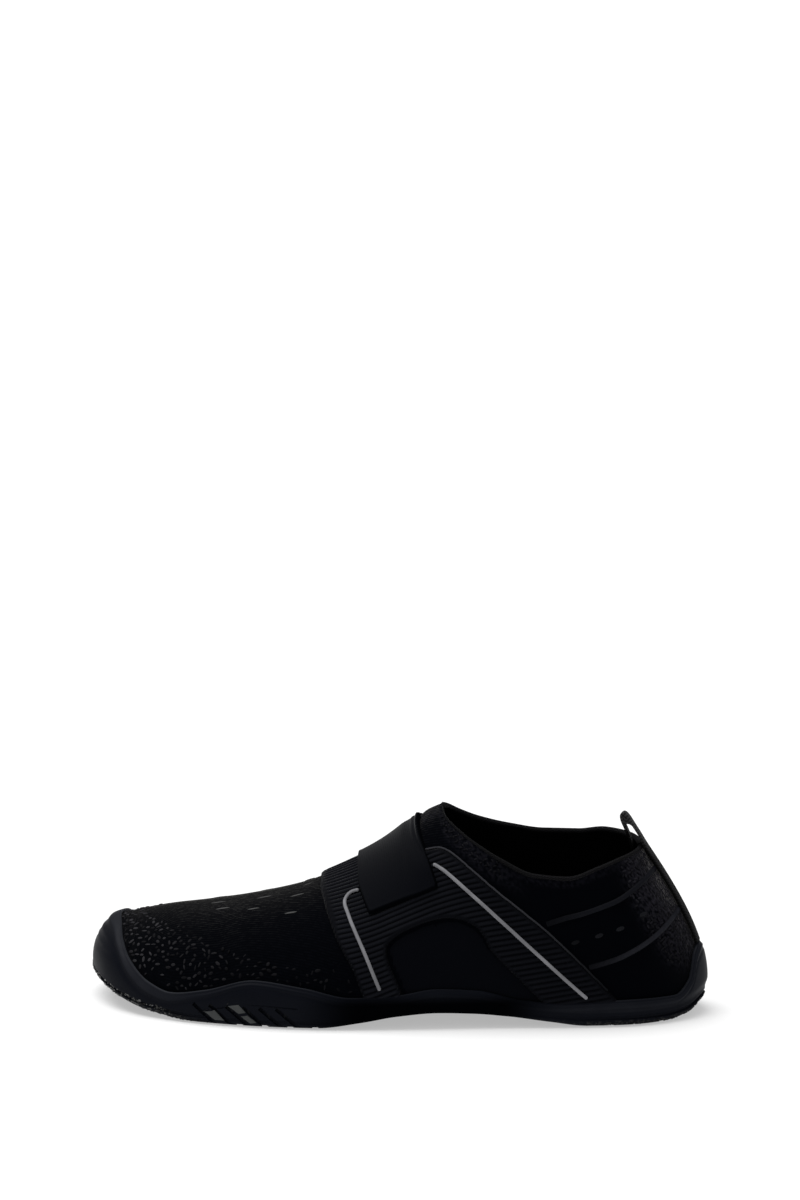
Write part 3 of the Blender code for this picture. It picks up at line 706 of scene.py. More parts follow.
def lay_cord(name: str, path: Array, facing: Array, width: float, depth: float, sides: int = 12) -> Piece:
    """Lays a round or flattened cord along a path.

    Args:
        name: the piece's name.
        path: the middle line in metres.
        facing: the outward direction at every point of the path.
        width: the width along the surface in metres.
        depth: the depth off the surface in metres.
        sides: how many sides the cord has.

    Returns:
        The object, with rounded ends.
    """
    run = unit(np.gradient(path, axis=0))
    aside = unit(np.cross(facing, run))
    lift = np.cross(run, aside)
    turn = np.linspace(0, 2 * np.pi, sides + 1)
    cap = np.array([0.0, 0.5, 0.87, 1.0])
    ring_at = np.concatenate([np.zeros(4, int), np.arange(1, len(path) - 1), np.full(4, len(path) - 1)])
    size = np.concatenate([cap, np.ones(len(path) - 2), cap[::-1]])
    shift = np.concatenate([np.sqrt(1 - cap**2), np.zeros(len(path) - 2), -np.sqrt(1 - cap[::-1] ** 2)])
    middle = path[ring_at] - run[ring_at] * (shift * depth / 2)[:, None]
    rings = (
        middle[:, None]
        + size[:, None, None] * np.cos(turn)[None, :, None] * aside[ring_at][:, None] * width / 2
        + size[:, None, None] * np.sin(turn)[None, :, None] * lift[ring_at][:, None] * depth / 2
    )
    length = distance_along(middle) / MM
    uv = np.stack(np.broadcast_arrays(length[:, None], turn[None, :] * width / 2 / MM), axis=2)
    piece = lay_grid(name, rings, uv)
    close_up(piece)
    shade_smooth(piece)
    return piece


def lay_beads(name: str, groups: Sequence[tuple[Array, ...]], segments: int) -> Piece:
    """Copies one small bead to many places, as one joined mesh.

    Args:
        name: the piece's name.
        groups: sets of beads: their middles in metres, the directions of their length, the
            outward directions, their sizes in metres and their tones from 0 to 1.
        segments: how many segments a bead has round it.

    Returns:
        The object.
    """
    places, along, facing, sizes, tone = (np.concatenate(x) for x in zip(*groups))
    bpy.ops.object.select_all(action="DESELECT")
    bpy.ops.mesh.primitive_uv_sphere_add(segments=segments, ring_count=max(4, segments // 2), radius=0.5)
    bead = bpy.context.object
    form = np.array([v.co for v in bead.data.vertices])
    faces = [tuple(p.vertices) for p in bead.data.polygons]
    bpy.data.objects.remove(bead)
    along = unit(along - facing * (along * facing).sum(axis=1, keepdims=True))
    aside = np.cross(facing, along)
    axes = np.stack([along, aside, facing], axis=1) * sizes[:, :, None]
    points = places[:, None] + np.einsum("vk,nkc->nvc", form, axes)
    mesh = bpy.data.meshes.new(name)
    all_faces = [tuple(i + n * len(form) for i in face) for n in range(len(places)) for face in faces]
    mesh.from_pydata(points.reshape(-1, 3).tolist(), [], all_faces)
    layer = mesh.attributes.new("tone", "FLOAT", "POINT")
    layer.data.foreach_set("value", np.repeat(tone, len(form)).astype(np.float32))
    piece = bpy.data.objects.new(name, mesh)
    bpy.context.scene.collection.objects.link(piece)
    shade_smooth(piece, 80)
    return piece


class Value:
    """A value of a shader: its arithmetic adds Math nodes."""

    def __init__(self, tree: "Tree", socket: bpy.types.NodeSocket) -> None:
        """Wraps an output socket."""
        self.tree = tree
        self.socket = socket

    def math(self, operation: str, *others: "Value | float") -> "Value":
        """One Math node on this value and others."""
        inputs = {i: value for i, value in enumerate((self, *others))}
        return self.tree.node("ShaderNodeMath", {"operation": operation}, inputs)

    __add__ = __radd__ = partialmethod(math, "ADD")
    __mul__ = __rmul__ = partialmethod(math, "MULTIPLY")
    __sub__ = partialmethod(math, "SUBTRACT")
    __truediv__ = partialmethod(math, "DIVIDE")
    __pow__ = partialmethod(math, "POWER")

    def __rsub__(self, other: float) -> "Value":
        """Difference from a number."""
        return (self * -1) + other

    def ribs(self, pitch: float) -> "Value":
        """Round ribs from 0 to 1 at a pitch."""
        return (self * (np.pi / pitch)).math("SINE").math("ABSOLUTE")

    def step(self, low: float, high: float) -> "Value":
        """A soft step from 0 at low to 1 at high."""
        settings = {"interpolation_type": "SMOOTHSTEP"}
        return self.tree.node("ShaderNodeMapRange", settings, {"Value": self, "From Min": low, "From Max": high})


class Tree:
    """The nodes of one material."""

    def __init__(self, name: str) -> None:
        """Makes a material with an empty Principled surface."""
        self.material = bpy.data.materials.new(name)
        self.material.use_nodes = True
        self.nodes = self.material.node_tree.nodes
        self.links = self.material.node_tree.links
        self.shader = self.nodes["Principled BSDF"]

    def node(
        self,
        kind: str,
        settings: dict[str, Any] | None = None,
        inputs: dict[str | int, Any] | None = None,
        output: str | int = 0,
    ) -> Value:
        """Adds a node.

        Args:
            kind: the node's type.
            settings: its settings, set before its sockets; stops are those of a colour ramp.
            inputs: values or links of its sockets.
            output: the socket that is read.

        Returns:
            The value of that socket.
        """
        made = self.nodes.new(kind)
        for name, value in (settings or {}).items():
            if name == "stops":
                self.ramp(made, value)
            else:
                setattr(made, name, value)
        for name, value in (inputs or {}).items():
            self.feed(made.inputs[name], value)
        return Value(self, made.outputs[output])

    @staticmethod
    def ramp(made: bpy.types.Node, stops: Sequence[tuple[float, Colour]]) -> None:
        """Sets the stops of a colour ramp."""
        elements = made.color_ramp.elements
        while len(elements) < len(stops):
            elements.new(0.5)
        for element, (place, colour) in zip(elements, stops):
            element.position = place
            element.color = (*colour, 1)

    def feed(self, socket: bpy.types.NodeSocket, value: Any) -> None:
        """Links a value to a socket, or sets its number."""
        if isinstance(value, Value):
            self.links.new(value.socket, socket)
        else:
            socket.default_value = value

    def surface(
        self, colour: Any, roughness: Any, normal: Value | None, specular: float, **more: Any
    ) -> Material:
        """Sets or links the sockets of the surface.

        Args:
            colour: the base colour.
            roughness: the roughness.
            normal: the bumped normal, or None for a plain one.
            specular: the strength of the reflection.
            more: other sockets, named in small letters with _ for a space.

        Returns:
            The material.
        """
        inputs = {"Base Color": colour, "Roughness": roughness, "Specular IOR Level": specular}
        if normal:
            inputs["Normal"] = normal
        inputs |= {name.replace("_", " ").title(): value for name, value in more.items()}
        for name, value in inputs.items():
            self.feed(self.shader.inputs[name], value)
        return self.material

    def shaded(self, factor: Value, colour: Colour) -> None:
        """Mixes the surface with a dull dark one by a factor, as painted shade."""
        dull = self.node("ShaderNodeBsdfDiffuse", None, {"Color": (*colour, 1)})
        both = self.node("ShaderNodeMixShader", None, {0: factor, 1: Value(self, self.shader.outputs[0]), 2: dull})
        self.links.new(both.socket, self.nodes["Material Output"].inputs["Surface"])

    def uv(self) -> tuple[Value, Value]:
        """The two places of the piece's own map, in millimetres."""
        place = self.node("ShaderNodeUVMap")
        split = self.nodes.new("ShaderNodeSeparateXYZ")
        self.links.new(place.socket, split.inputs[0])
        return Value(self, split.outputs[0]), Value(self, split.outputs[1])

    def place(self) -> Value:
        """The object's own coordinates, in metres."""
        return self.node("ShaderNodeTexCoord", output="Object")

    def painted(self, name: str) -> Value:
        """A number kept on the piece's points."""
        return self.node("ShaderNodeAttribute", {"attribute_name": name}, output="Fac")

    def noise(self, scale: float, detail: float = 2.0, vector: Value | None = None) -> Value:
        """Noise from 0 to 1, in object metres unless another place is given."""
        inputs = {"Vector": vector or self.place(), "Scale": scale, "Detail": detail}
        return self.node("ShaderNodeTexNoise", None, inputs)

    def mix(self, factor: "Value | float", first: Any, second: Any) -> Value:
        """A mix of two colours."""
        made = self.nodes.new("ShaderNodeMix")
        made.data_type = "RGBA"
        self.feed(made.inputs["Factor"], factor)
        for socket, value in ((made.inputs[6], first), (made.inputs[7], second)):
            self.feed(socket, (*value, 1) if isinstance(value, tuple) else value)
        return Value(self, made.outputs[2])

    def bump(self, height: Value, depth: float, strength: float = 1.0) -> Value:
        """A normal bumped by a height in units of a depth in metres."""
        inputs = {"Height": height, "Distance": depth, "Strength": strength}
        return self.node("ShaderNodeBump", None, inputs)


@dataclass(frozen=True)
class Rubber:
    """Moulded rubber with a faint mottle, rough where it is tread; pale tread spots are dust and painted light, with
    a painted highlight on the lip and painted shade under the arch.
    """

    name: str = "moulded_rubber"
    colour: Colour = (0.0035, 0.0041, 0.0064)
    # colour of the pale tread spots: dust and painted light from below
    wear_and_highlight: Colour = (0.03, 0.03, 0.031)
    # painted highlight along the lip
    lip: Colour = (0.026, 0.0275, 0.033)
    roughness: float = 0.42

    def make(self) -> Material:
        """Builds the material."""
        tree = Tree(self.name)
        mottle = tree.noise(90, 4)
        grain = tree.noise(2600, 2)
        tread = tree.painted("tread")
        studs = tree.noise(620, 3)
        # Pale spots on the tread: dust, and painted light from below.
        dust_and_light = tread * studs.step(0.5, 0.66)
        plain = tree.mix(mottle, self.colour, scaled(self.colour, 1.25))
        # Painted highlight along the lip, where lip is painted.
        lip_highlight = tree.mix(tree.painted("lip") * (0.5 + mottle), plain, self.lip)
        # Painted shade on the lower wall of the arch, where under is painted.
        tree.shaded(tree.painted("under"), (0.0006, 0.0007, 0.0011))
        return tree.surface(
            tree.mix(dust_and_light, lip_highlight, self.wear_and_highlight),
            self.roughness + (mottle - 0.5) * 0.16 + tread * 0.2,
            tree.bump(grain * 0.12 + tread * studs * 1.6, 0.0006, 0.6),
            0.024,
        )


@dataclass(frozen=True)
class GreyRubber:
    """The light grey rubber of the marked side lugs."""

    name: str = "grey_lug_rubber"
    colour: Colour = (0.062, 0.065, 0.065)

    def make(self) -> Material:
        """Builds the material."""
        tree = Tree(self.name)
        mottle = tree.noise(420, 3)
        return tree.surface(
            tree.mix(mottle, scaled(self.colour, 0.7), self.colour),
            0.55 + (mottle - 0.5) * 0.2,
            tree.bump(tree.noise(1900), 0.0003, 0.4),
            0.05,
        )


@dataclass(frozen=True)
class Knit:
    """Fine black knit: rows of small loops, smooth where the piece says so."""

    name: str = "black_knit"
    colour: Colour = (0.0004, 0.0006, 0.0014)
    thread: Colour = (0.0013, 0.0016, 0.0028)
    backing: Colour = (0.0017, 0.002, 0.0032)
    pale: Colour = (0.0135, 0.013, 0.0174)
    row_pitch: float = 1.35
    stitch_length: float = 2.6
    tweed_pitch: float = 1.7

    def make(self) -> Material:
        """Builds the material."""
        tree = Tree(self.name)
        u, v = tree.uv()
        row = v / self.row_pitch
        level = row.math("FLOOR")
        across = (row - level) * 2 - 1
        ridge = 1 - across * across
        spot = tree.node("ShaderNodeCombineXYZ", None, {"X": u / self.stitch_length, "Y": level * 3.7})
        strand = tree.noise(1, 1, spot).step(0.4, 0.62)
        knitted = 1 - tree.painted("smooth")
        stitch = ridge * (0.35 + 0.65 * strand) * knitted
        slant = tree.node("ShaderNodeCombineXYZ", None, {"X": u + v * 0.6, "Y": v * 0.7 - u * 0.3})
        tweed = tree.painted("tweed")
        loops = tree.noise(1 / self.tweed_pitch, 1, slant).step(0.3, 0.7)
        cloud = tree.noise(45, 3)
        fine = tree.noise(3000, 2)
        plain = tree.mix(stitch * (0.3 + 0.7 * cloud), self.colour, self.thread)
        plain = tree.mix(tree.painted("smooth").step(0.86, 0.98), plain, self.backing)
        return tree.surface(
            tree.mix(tweed * loops, plain, self.pale),
            0.85 + knitted * 0.1,
            tree.bump(stitch + fine * 0.2 + tweed * loops * 0.8, 0.0003, 0.6),
            0.012,
            sheen_weight=0.2,
            sheen_roughness=0.3,
            sheen_tint=(1.0, 0.97, 0.91, 1.0),
        )


@dataclass(frozen=True)
class RibbedKnit:
    """Stretch fabric with raised ribs: painted highlight on their backs, painted shade in the grooves and along the
    cut edge.
    """

    name: str = "ribbed_knit"
    colour: Colour = (0.0006, 0.0007, 0.0013)
    # painted highlight of the rib backs
    rib: Colour = (0.015, 0.016, 0.021)

    def make(self) -> Material:
        """Builds the material."""
        tree = Tree(self.name)
        u, _ = tree.uv()
        high = tree.painted("rib")
        cords = u.ribs(0.8)
        cloud = tree.noise(60, 3)
        # Painted shade along the panel's cut edge, where under is painted.
        tree.shaded(tree.painted("under"), (0.001, 0.0011, 0.0016))
        return tree.surface(
            tree.mix(high**1.6 * (0.55 + 0.45 * cloud), self.colour, self.rib),
            0.8 - high * 0.15,
            tree.bump(cords * 0.4 + tree.noise(2800) * 0.3, 0.0003, 0.6),
            0.012,
            sheen_weight=0.24,
            sheen_roughness=0.31,
        )


@dataclass(frozen=True)
class Elastic:
    """Smooth elastic band with fine cords along it, and painted shade along its cut edge."""

    name: str = "elastic_band"
    colour: Colour = (0.0016, 0.0019, 0.0032)
    cord_pitch: float = 0.9

    def make(self) -> Material:
        """Builds the material."""
        tree = Tree(self.name)
        u, v = tree.uv()
        cords = u.ribs(self.cord_pitch)
        weave = v.ribs(0.6)
        cloud = tree.noise(35, 2)
        # Painted shade along the band's cut edge, where under is painted.
        tree.shaded(tree.painted("under"), (0.001, 0.0011, 0.0016))
        return tree.surface(
            tree.mix(cloud, scaled(self.colour, 0.8), scaled(self.colour, 1.3)),
            0.62 + (cloud - 0.5) * 0.1,
            tree.bump(cords * 0.6 + weave * 0.4, 0.0001, 0.4),
            0.015,
            sheen_weight=0.27,
            sheen_roughness=0.32,
        )


@dataclass(frozen=True)
class Thread:
    """Short knitted or printed marks, each with its own tone."""

    name: str
    dark: Colour
    light: Colour
    roughness: float = 0.6

    def make(self) -> Material:
        """Builds the material."""
        tree = Tree(self.name)
        tone = tree.painted("tone") * (0.6 + 0.8 * tree.noise(650, 2))
        return tree.surface(
            tree.mix(tone, self.dark, self.light),
            self.roughness + (tree.noise(900) - 0.5) * 0.2,
            tree.bump(tree.noise(2600), 0.0002, 0.5),
            0.02,
        )


@dataclass(frozen=True)
class Film:
    """Matt welded film or piping with a fine grain."""

    name: str
    colour: Colour
    pale: Colour
    roughness: float
    grain: float = 1500.0

    def make(self) -> Material:
        """Builds the material."""
        tree = Tree(self.name)
        cloud = tree.noise(110, 3)
        grain = tree.noise(self.grain, 2)
        return tree.surface(
            tree.mix(cloud.step(0.3, 0.75), self.colour, self.pale),
            self.roughness + (grain - 0.5) * 0.2,
            tree.bump(grain, 0.00025, 0.4),
            0.1,
        )


@dataclass(frozen=True)
class Webbing:
    """Woven tape with slanting ribs, and painted shade where the piece says so."""

    name: str = "woven_tape"
    colour: Colour = (0.007, 0.007, 0.0072)
    pale: Colour = (0.044, 0.044, 0.044)
    pitch: float = 1.5
    slant_pitch: float = 3.0

    def make(self) -> Material:
        """Builds the material."""
        tree = Tree(self.name)
        u, v = tree.uv()
        slant = (v + u.ribs(self.slant_pitch) * 1.2).ribs(self.pitch)
        warp = u.ribs(0.7)
        weave = slant * 0.7 + warp * 0.3
        woven = tree.mix(weave**2, self.colour, self.pale)
        return tree.surface(
            # Painted shade, where under is painted.
            tree.mix(tree.painted("under"), woven, scaled(self.colour, 0.2)),
            0.75 - weave * 0.15,
            tree.bump(weave, 0.0004, 0.7),
            0.02,
        )


@dataclass(frozen=True)
class Lining:
    """Matt lining cloth with a small even mesh."""

    name: str = "lining_cloth"
    colour: Colour = (0.0006, 0.0006, 0.0007)
    pale: Colour = (0.002, 0.002, 0.0021)
    pitch: float = 1.6

    def make(self) -> Material:
        """Builds the material."""
        tree = Tree(self.name)
        u, v = tree.uv()
        across = u.ribs(self.pitch)
        upward = v.ribs(self.pitch)
        mesh = across * upward
        return tree.surface(
            tree.mix(mesh * (0.4 + 0.6 * tree.noise(70)), self.colour, self.pale),
            0.9 - mesh * 0.1,
            tree.bump(mesh, 0.0004, 0.5),
            0.01,
        )


def settle(piece: Piece, finish: Material, nodes: Sequence[str] = ()) -> None:
    """Dresses a finished piece, sets it on the shoe's body and hides the solids that it stands for.

    Args:
        piece: the object.
        finish: its material, put first where it has none.
        nodes: the solids that it replaces.
    """
    if not piece.data.materials:
        piece.data.materials.append(finish)
    if nodes:
        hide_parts(*nodes)
    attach(piece, BODY)
    LOG.info("%s: %d faces", piece.name, len(piece.data.polygons))


@dataclass
class CupSole:
    """The rubber cup with its lip, grooves, side lugs and tread."""

    last: Last
    columns: int = 600
    wall_rows: int = 24
    lip_steps: int = 9
    lip_outside: float = 1.95
    lip_inside: float = 0.05
    lip_band: float = 1.9
    toe_band: float = 4.4
    side_steps: Stations = Stations("station inset groove tread", (
        (0, 4.5, 0, 0.8), (0.03, 3.2, 0, 1), (0.09, 1.9, 0, 1), (0.18, 1, 0, 1), (0.30, 0.3, 0, 0.9),
        (0.42, 0, 0, 0.4), (0.48, 0, 0.3, 0), (0.52, 0, 1, 0), (0.65, 0, 1, 0), (0.70, 0, 0.3, 0),
        (0.78, 0, 0, 0), (0.90, 0, 0, 0),
    ))
    band_groove: float = 0.32
    heel_round: float = 0.9
    fold_width: float = 0.8
    side_lean: float = 0.12
    creases: Stations = Stations("station height length depth", (
        (2.2, 30.5, 9, 0.35), (2.9, 27.4, 11, 0.45), (4.2, 24.6, 8, 0.3),
    ))
    first_slot: float = 55.9
    slot_pitch: float = 7.5
    slot_count: int = 6
    slot_length: float = 15.0
    slot_width: float = 1.8
    slot_depth: float = 1.6
    slot_lean: float = 40.0
    slot_height: float = 4.4
    tread_grooves: tuple[float, ...] = (60.0, 71.0, 82.0, 93.0, 226.0, 238.0, 250.0)
    groove_width: float = 3.0
    groove_depth: float = 1.2
    groove_sweep: float = 14.0
    lug_line: SideLine = SideLine(
        ((53.0, 5.7), (59.0, 7.6), (64.4, 8.8), (66.4, 10.8), (71.4, 11.8), (75.0, 10.6), (84.0, 10.2), (97.0, 9.4))
    )
    lug_line_width: float = 0.9
    lugs: tuple[tuple[tuple[float, float], ...], ...] = (
        ((55.0, 6.1), (60.0, 7.0), (64.6, 2.4), (60.2, 2.4)),
        ((66.2, 9.4), (70.9, 10.3), (74.4, 6.6), (70.9, 5.9)),
        ((71.4, 5.2), (74.9, 5.8), (79.2, 2.3), (76.2, 1.9)),
    )
    lug_height: float = 0.4
    lug_sink: float = 0.15
    lug_thickness: float = 0.8
    lug_points: int = 13
    lug_edge: float = 0.16
    stud_count: int = 900
    stud_seed: int = 5
    ring: Columns = field(init=False)
    wall: Patch = field(init=False)
    outer: Array = field(init=False)
    edge_height: Array = field(init=False)

    def __post_init__(self) -> None:
        """Works out the outer wall."""
        last = self.last
        self.ring = last.ring(self.columns)
        rim, _ = last.shares(self.ring)
        step = 0.01
        pace = last.surface(self.ring, rim[:, None]) - last.surface(self.ring, rim[:, None] - step)
        pace = np.linalg.norm(pace, axis=2)[:, 0] / step
        climb = 1 - (1 - np.linspace(0, 1, self.wall_rows)) ** 1.6
        self.wall = last.patch(self.ring, climb * (rim - self.lip_radius / pace)[:, None], True)
        self.outer = self.wall.lifted(self.wall_lift())
        self.edge_height = self.ring.by_side(last.underside, self.ring.low, last.percent)

    @property
    def lip_radius(self) -> float:
        """Radius of the rolled lip."""
        return (self.lip_outside - self.lip_inside) / 2

    def band_share(self) -> Array:
        """How far every point of the wall lies under the lip, in widths of the band there."""
        below = self.wall.uv[:, -1:, 1] - self.wall.uv[..., 1]
        toe = smoothstep(58, 14, self.ring.low)[:, None]
        return below / (self.lip_band + (self.toe_band - self.lip_band) * toe)

    def wall_lift(self) -> Array:
        """How far the outer wall stands off the last, with the lip's band, the round heel and the toe's folds."""
        last, points = self.last, self.wall.points
        share = self.band_share()
        thick = last.wrap_gap + last.sole_wall
        lift = thick - (thick - self.lip_outside) * smoothstep(0.8, 0, share)
        lift -= self.band_groove * bell(share, 1.4, 0.35)
        heel = smoothstep(238, 262, self.ring.low)[:, None]
        lift -= self.heel_round * smoothstep(4, 0, self.wall.uv[..., 1]) * heel
        for place, height, length, depth in self.creases.rows:
            away = np.abs(points[..., 2] - height - 0.12 * (points[..., 1] - 8))
            reach = bell(points[..., 0], place, length) * smoothstep(34, 24, points[..., 1])
            lift -= depth * reach * bell(away, 0, self.fold_width)
        return lift

    def side_ring(self, share: float) -> Array:
        """A ring of the sole's side, at a share of the way from the tread to the feather edge."""
        foot = self.outer[:, 0]
        inset = self.side_steps.at("inset", share)
        groove = self.side_steps.at("groove", share)
        inset = inset + groove * self.last.underside.at("groove", self.ring.low / self.last.percent)
        pull = unit(self.last.spine(self.ring) - foot[:, :2])
        height = self.edge_height + share * (foot[:, 2] - self.edge_height)
        return np.column_stack([foot[:, :2] + pull * inset[:, None], height])

    def profile(self) -> tuple[Array, Array, Array]:
        """The rows of the cup, from the middle of the tread out, up, over the lip and down inside.

        Returns:
            The points by column and row, and how much of each is tread and painted lip highlight.
        """
        last, ring, wall = self.last, self.ring, self.wall
        place = ring.low / last.percent
        middle = last.spine(ring)
        low_middle = np.column_stack([middle, last.underside.at("middle", middle[:, 0] / last.percent)])
        ends = smoothstep(62, 30, ring.low) + smoothstep(205, 228, ring.low)
        rows, tread = [], []
        for share in (0, 0.3, 0.6, 0.85, 0.96):
            rows.append(low_middle + (self.side_ring(0) - low_middle) * share)
            tread.append(ends * 0.6)
        for share, _, _, rough in self.side_steps.rows:
            rows.append(self.side_ring(share))
            tread.append(ends * rough)
        wear_and_highlight = [np.zeros(len(place))] * len(rows)
        toe = smoothstep(70, 12, ring.low)
        # Painted highlight on the lip: strong at the toe, fading along the sides by the midfoot, and again at the
        # heel.
        lip_highlight = smoothstep(150, 60, ring.low) * 0.55 + toe * 0.6 + 0.4 * smoothstep(216, 240, ring.low)
        rows += list(np.moveaxis(self.outer[:, :-1], 1, 0))
        # Painted highlight over the heel's rubber wall and over the toe's band under the lip.
        heel_highlight = 0.2 * smoothstep(196, 222, ring.low)[:, None] * np.ones(wall.points.shape[:2])
        wall_highlight = np.maximum(0.45 * toe[:, None] * smoothstep(1.05, 0.7, self.band_share()), heel_highlight)
        wear_and_highlight += list(np.moveaxis(wall_highlight, 1, 0))[:-1]
        up = unit(np.gradient(wall.points, axis=1)[:, -1])
        facing = wall.normals[:, -1]
        lip = wall.points[:, -1] + facing * (self.lip_outside + self.lip_inside) / 2
        for turn in np.linspace(0, np.pi, self.lip_steps):
            rows.append(lip + (facing * np.cos(turn) + up * np.sin(turn)) * self.lip_radius)
            wear_and_highlight.append(np.maximum(lip_highlight * np.sin(turn) ** 2, 0.45 * toe * (turn < 1.5)))
        inner = wall.lifted(last.wrap_gap)
        rows += [inner[:, row] for row in (self.wall_rows - 6, self.wall_rows // 2, 0)]
        bed = inner[:, 0] * LEVEL + UP * last.underside.at("footbed", place)[:, None]
        bed_middle = np.column_stack([middle, last.underside.at("footbed", middle[:, 0] / last.percent)])
        rows += [bed, bed + (bed_middle - bed) * 0.5, bed_middle]
        for paint in (tread, wear_and_highlight):
            paint += [np.zeros(len(place))] * (len(rows) - len(paint))
        points, tread, wear_and_highlight = (np.moveaxis(np.array(x), 0, 1) for x in (rows, tread, wear_and_highlight))
        return points, tread, wear_and_highlight

    def on_side(self, side: Side, places: Array, proud: Array | float) -> tuple[Array, Array]:
        """Points of the sole's side at stations and heights of the side view.

        Args:
            side: the side.
            places: rows of station and height.
            proud: how far each point stands off the side.

        Returns:
            The points and the outward directions there.
        """
        own = self.ring.lateral if side is Side.LATERAL else ~self.ring.lateral
        order = np.nonzero(own)[0]
        order = order[np.argsort(self.outer[order, 0, 0])]
        foot = self.outer[order, 0]
        pull = unit(self.last.spine(self.ring) - self.outer[:, 0, :2])[order]
        station, height = places[:, 0], places[:, 1]
        read = [np.interp(station, foot[:, 0], line) for line in (foot[:, 1], foot[:, 2], self.edge_height[order])]
        out = -np.column_stack([np.interp(station, foot[:, 0], pull[:, i]) for i in (0, 1)])
        share = np.clip((height - read[2]) / (read[1] - read[2]), 0, 1)
        lean = self.side_lean * np.clip(height - read[1], 0, None)
        move = proud + lean - self.side_steps.at("inset", share)
        flat = np.column_stack([station, read[0]]) + out * np.broadcast_to(move, len(station))[:, None]
        return np.column_stack([flat, height]), np.column_stack([out, np.zeros(len(out))])

    def box(self, size: Sequence[float], matrix: Matrix) -> Piece:
        """A cutting box of this size in millimetres at a place of the scene."""
        bpy.ops.object.select_all(action="DESELECT")
        bpy.ops.mesh.primitive_cube_add(size=1)
        tool = bpy.context.object
        tool.data.transform(matrix @ Matrix.Diagonal((*(s * MM for s in size), 1)))
        return tool

    def cutters(self) -> list[Piece]:
        """The shapes that cut the slots between the lugs, the line above them and the grooves of the tread."""
        last = self.last
        tools = []
        for side in Side:
            for i in range(self.slot_count):
                place = self.first_slot + i * self.slot_pitch
                spots, _ = self.on_side(side, np.array([[place, 20.0], [place + 1.0, 20.0]]), -14.0 * self.side_lean)
                turn = Matrix.Rotation(np.arctan2(spots[1, 1] - spots[0, 1], 1), 4, "Z")
                turn = turn @ Matrix.Rotation(np.radians(self.slot_lean), 4, "Y")
                spot = Matrix.Translation(last.to_scene((place, spots[0, 1], self.slot_height)))
                tools.append(self.box((self.slot_length, 2 * self.slot_depth, self.slot_width), spot @ turn))
            path, facing = self.on_side(side, self.lug_line.path(8), 0)
            tools.append(lay_cord("lug_line", last.to_scene(path), facing, *[self.lug_line_width * MM] * 2, 8))
        for place in self.tread_grooves:
            spot = Matrix.Translation(last.to_scene((place, 0, 0)))
            turn = Matrix.Rotation(np.radians(self.groove_sweep), 4, "Z")
            tools.append(self.box((self.groove_width, 160, 2 * self.groove_depth), spot @ turn))
        return tools

    def build(self) -> Piece:
        """Models the cup and cuts it."""
        points, tread, wear_and_highlight = self.profile()
        piece = lay_grid("sole_cup", self.last.to_scene(wrapped(points)))
        # Painted shade: under darkens the lower wall of the arch.
        arch = smoothstep(92, 125, points[..., 0]) * smoothstep(212, 186, points[..., 0])
        under = arch * smoothstep(17, 11, points[..., 2])
        # tread is the real rough tread; lip is the painted highlight; under is the painted shade.
        for name, paint in (("tread", tread), ("lip", wear_and_highlight), ("under", under)):
            paint_points(piece, name, wrapped(paint))
        close_up(piece)
        for tool in self.cutters():
            settings = {"operation": "DIFFERENCE", "solver": "EXACT", "object": tool}
            modify(piece, "BOOLEAN", settings)
            bpy.data.objects.remove(tool)
        drop_flaps(piece)
        shade_smooth(piece, 38)
        return piece

    def marked_lugs(self) -> Piece:
        """Models the pale lugs of both sides as low cushions."""
        pads = []
        even = np.linspace(0, 1, self.lug_points)
        u, v = np.meshgrid(even, even, indexing="ij")
        round_edge = np.minimum(*(smoothstep(0, self.lug_edge, np.minimum(w, 1 - w)) for w in (u, v)))
        proud = self.lug_height * round_edge.ravel() - self.lug_sink
        weights = np.stack([(1 - u) * (1 - v), u * (1 - v), u * v, (1 - u) * v], axis=2)
        for side in Side:
            for corners in np.array(self.lugs):
                points, facing = self.on_side(side, (weights @ corners).reshape(-1, 2), proud)
                pad = lay_grid("lug", self.last.to_scene(points).reshape(*u.shape, 3))
                close_up(pad, facing.mean(axis=0))
                modify(pad, "SOLIDIFY", {"thickness": self.lug_thickness * MM, "offset": -1})
                pads.append(pad)
        piece = join_pieces("marked_lugs", pads)
        shade_smooth(piece, 50)
        return piece

    def studs(self) -> Piece:
        """Models the rough studs along the lower edge of the toe and the heel."""
        chance = np.random.default_rng(self.stud_seed)
        ends = np.nonzero((self.ring.low < 58) | (self.ring.low > 222))[0]
        column = chance.choice(ends, self.stud_count)
        toe = smoothstep(52, 34, self.ring.low[column])
        share = chance.uniform(0.02, 0.36 + 0.44 * toe)
        rings = {round(s, 2): self.side_ring(s) for s in np.linspace(0, 0.9, 91)}
        place = np.array([rings[round(s, 2)][c] for s, c in zip(share, column)])
        place[:, 2] = np.maximum(place[:, 2], 0.9)
        out = -unit(self.last.spine(self.ring) - self.outer[:, 0, :2])[column]
        down = np.clip(1 - share / 0.42, 0, 1)[:, None]
        facing = unit(np.column_stack([out, np.zeros(len(out))]) - down * (0, 0, 1.1))
        run = np.column_stack([-out[:, 1], out[:, 0], chance.uniform(-0.8, 0.8, len(out))])
        spans = ((0.7, 1.6), (0.5, 0.9), (0.35, 0.6))
        size = bead_sizes(*(chance.uniform(small, large, len(out)) for small, large in spans))
        # Tones: pale tread dust, raised at the toe's front and tip as painted light from below.
        tip = smoothstep(34, 12, self.ring.low[column])
        heel = 0.16 * (self.ring.low[column] > 222)
        bright = (0.65 * toe + 0.35 * tip + heel) * chance.uniform(0.05, 1, len(out)) ** (1.5 - tip)
        return lay_beads("tread_studs", [(self.last.to_scene(place), run, facing, size, bright)], 6)

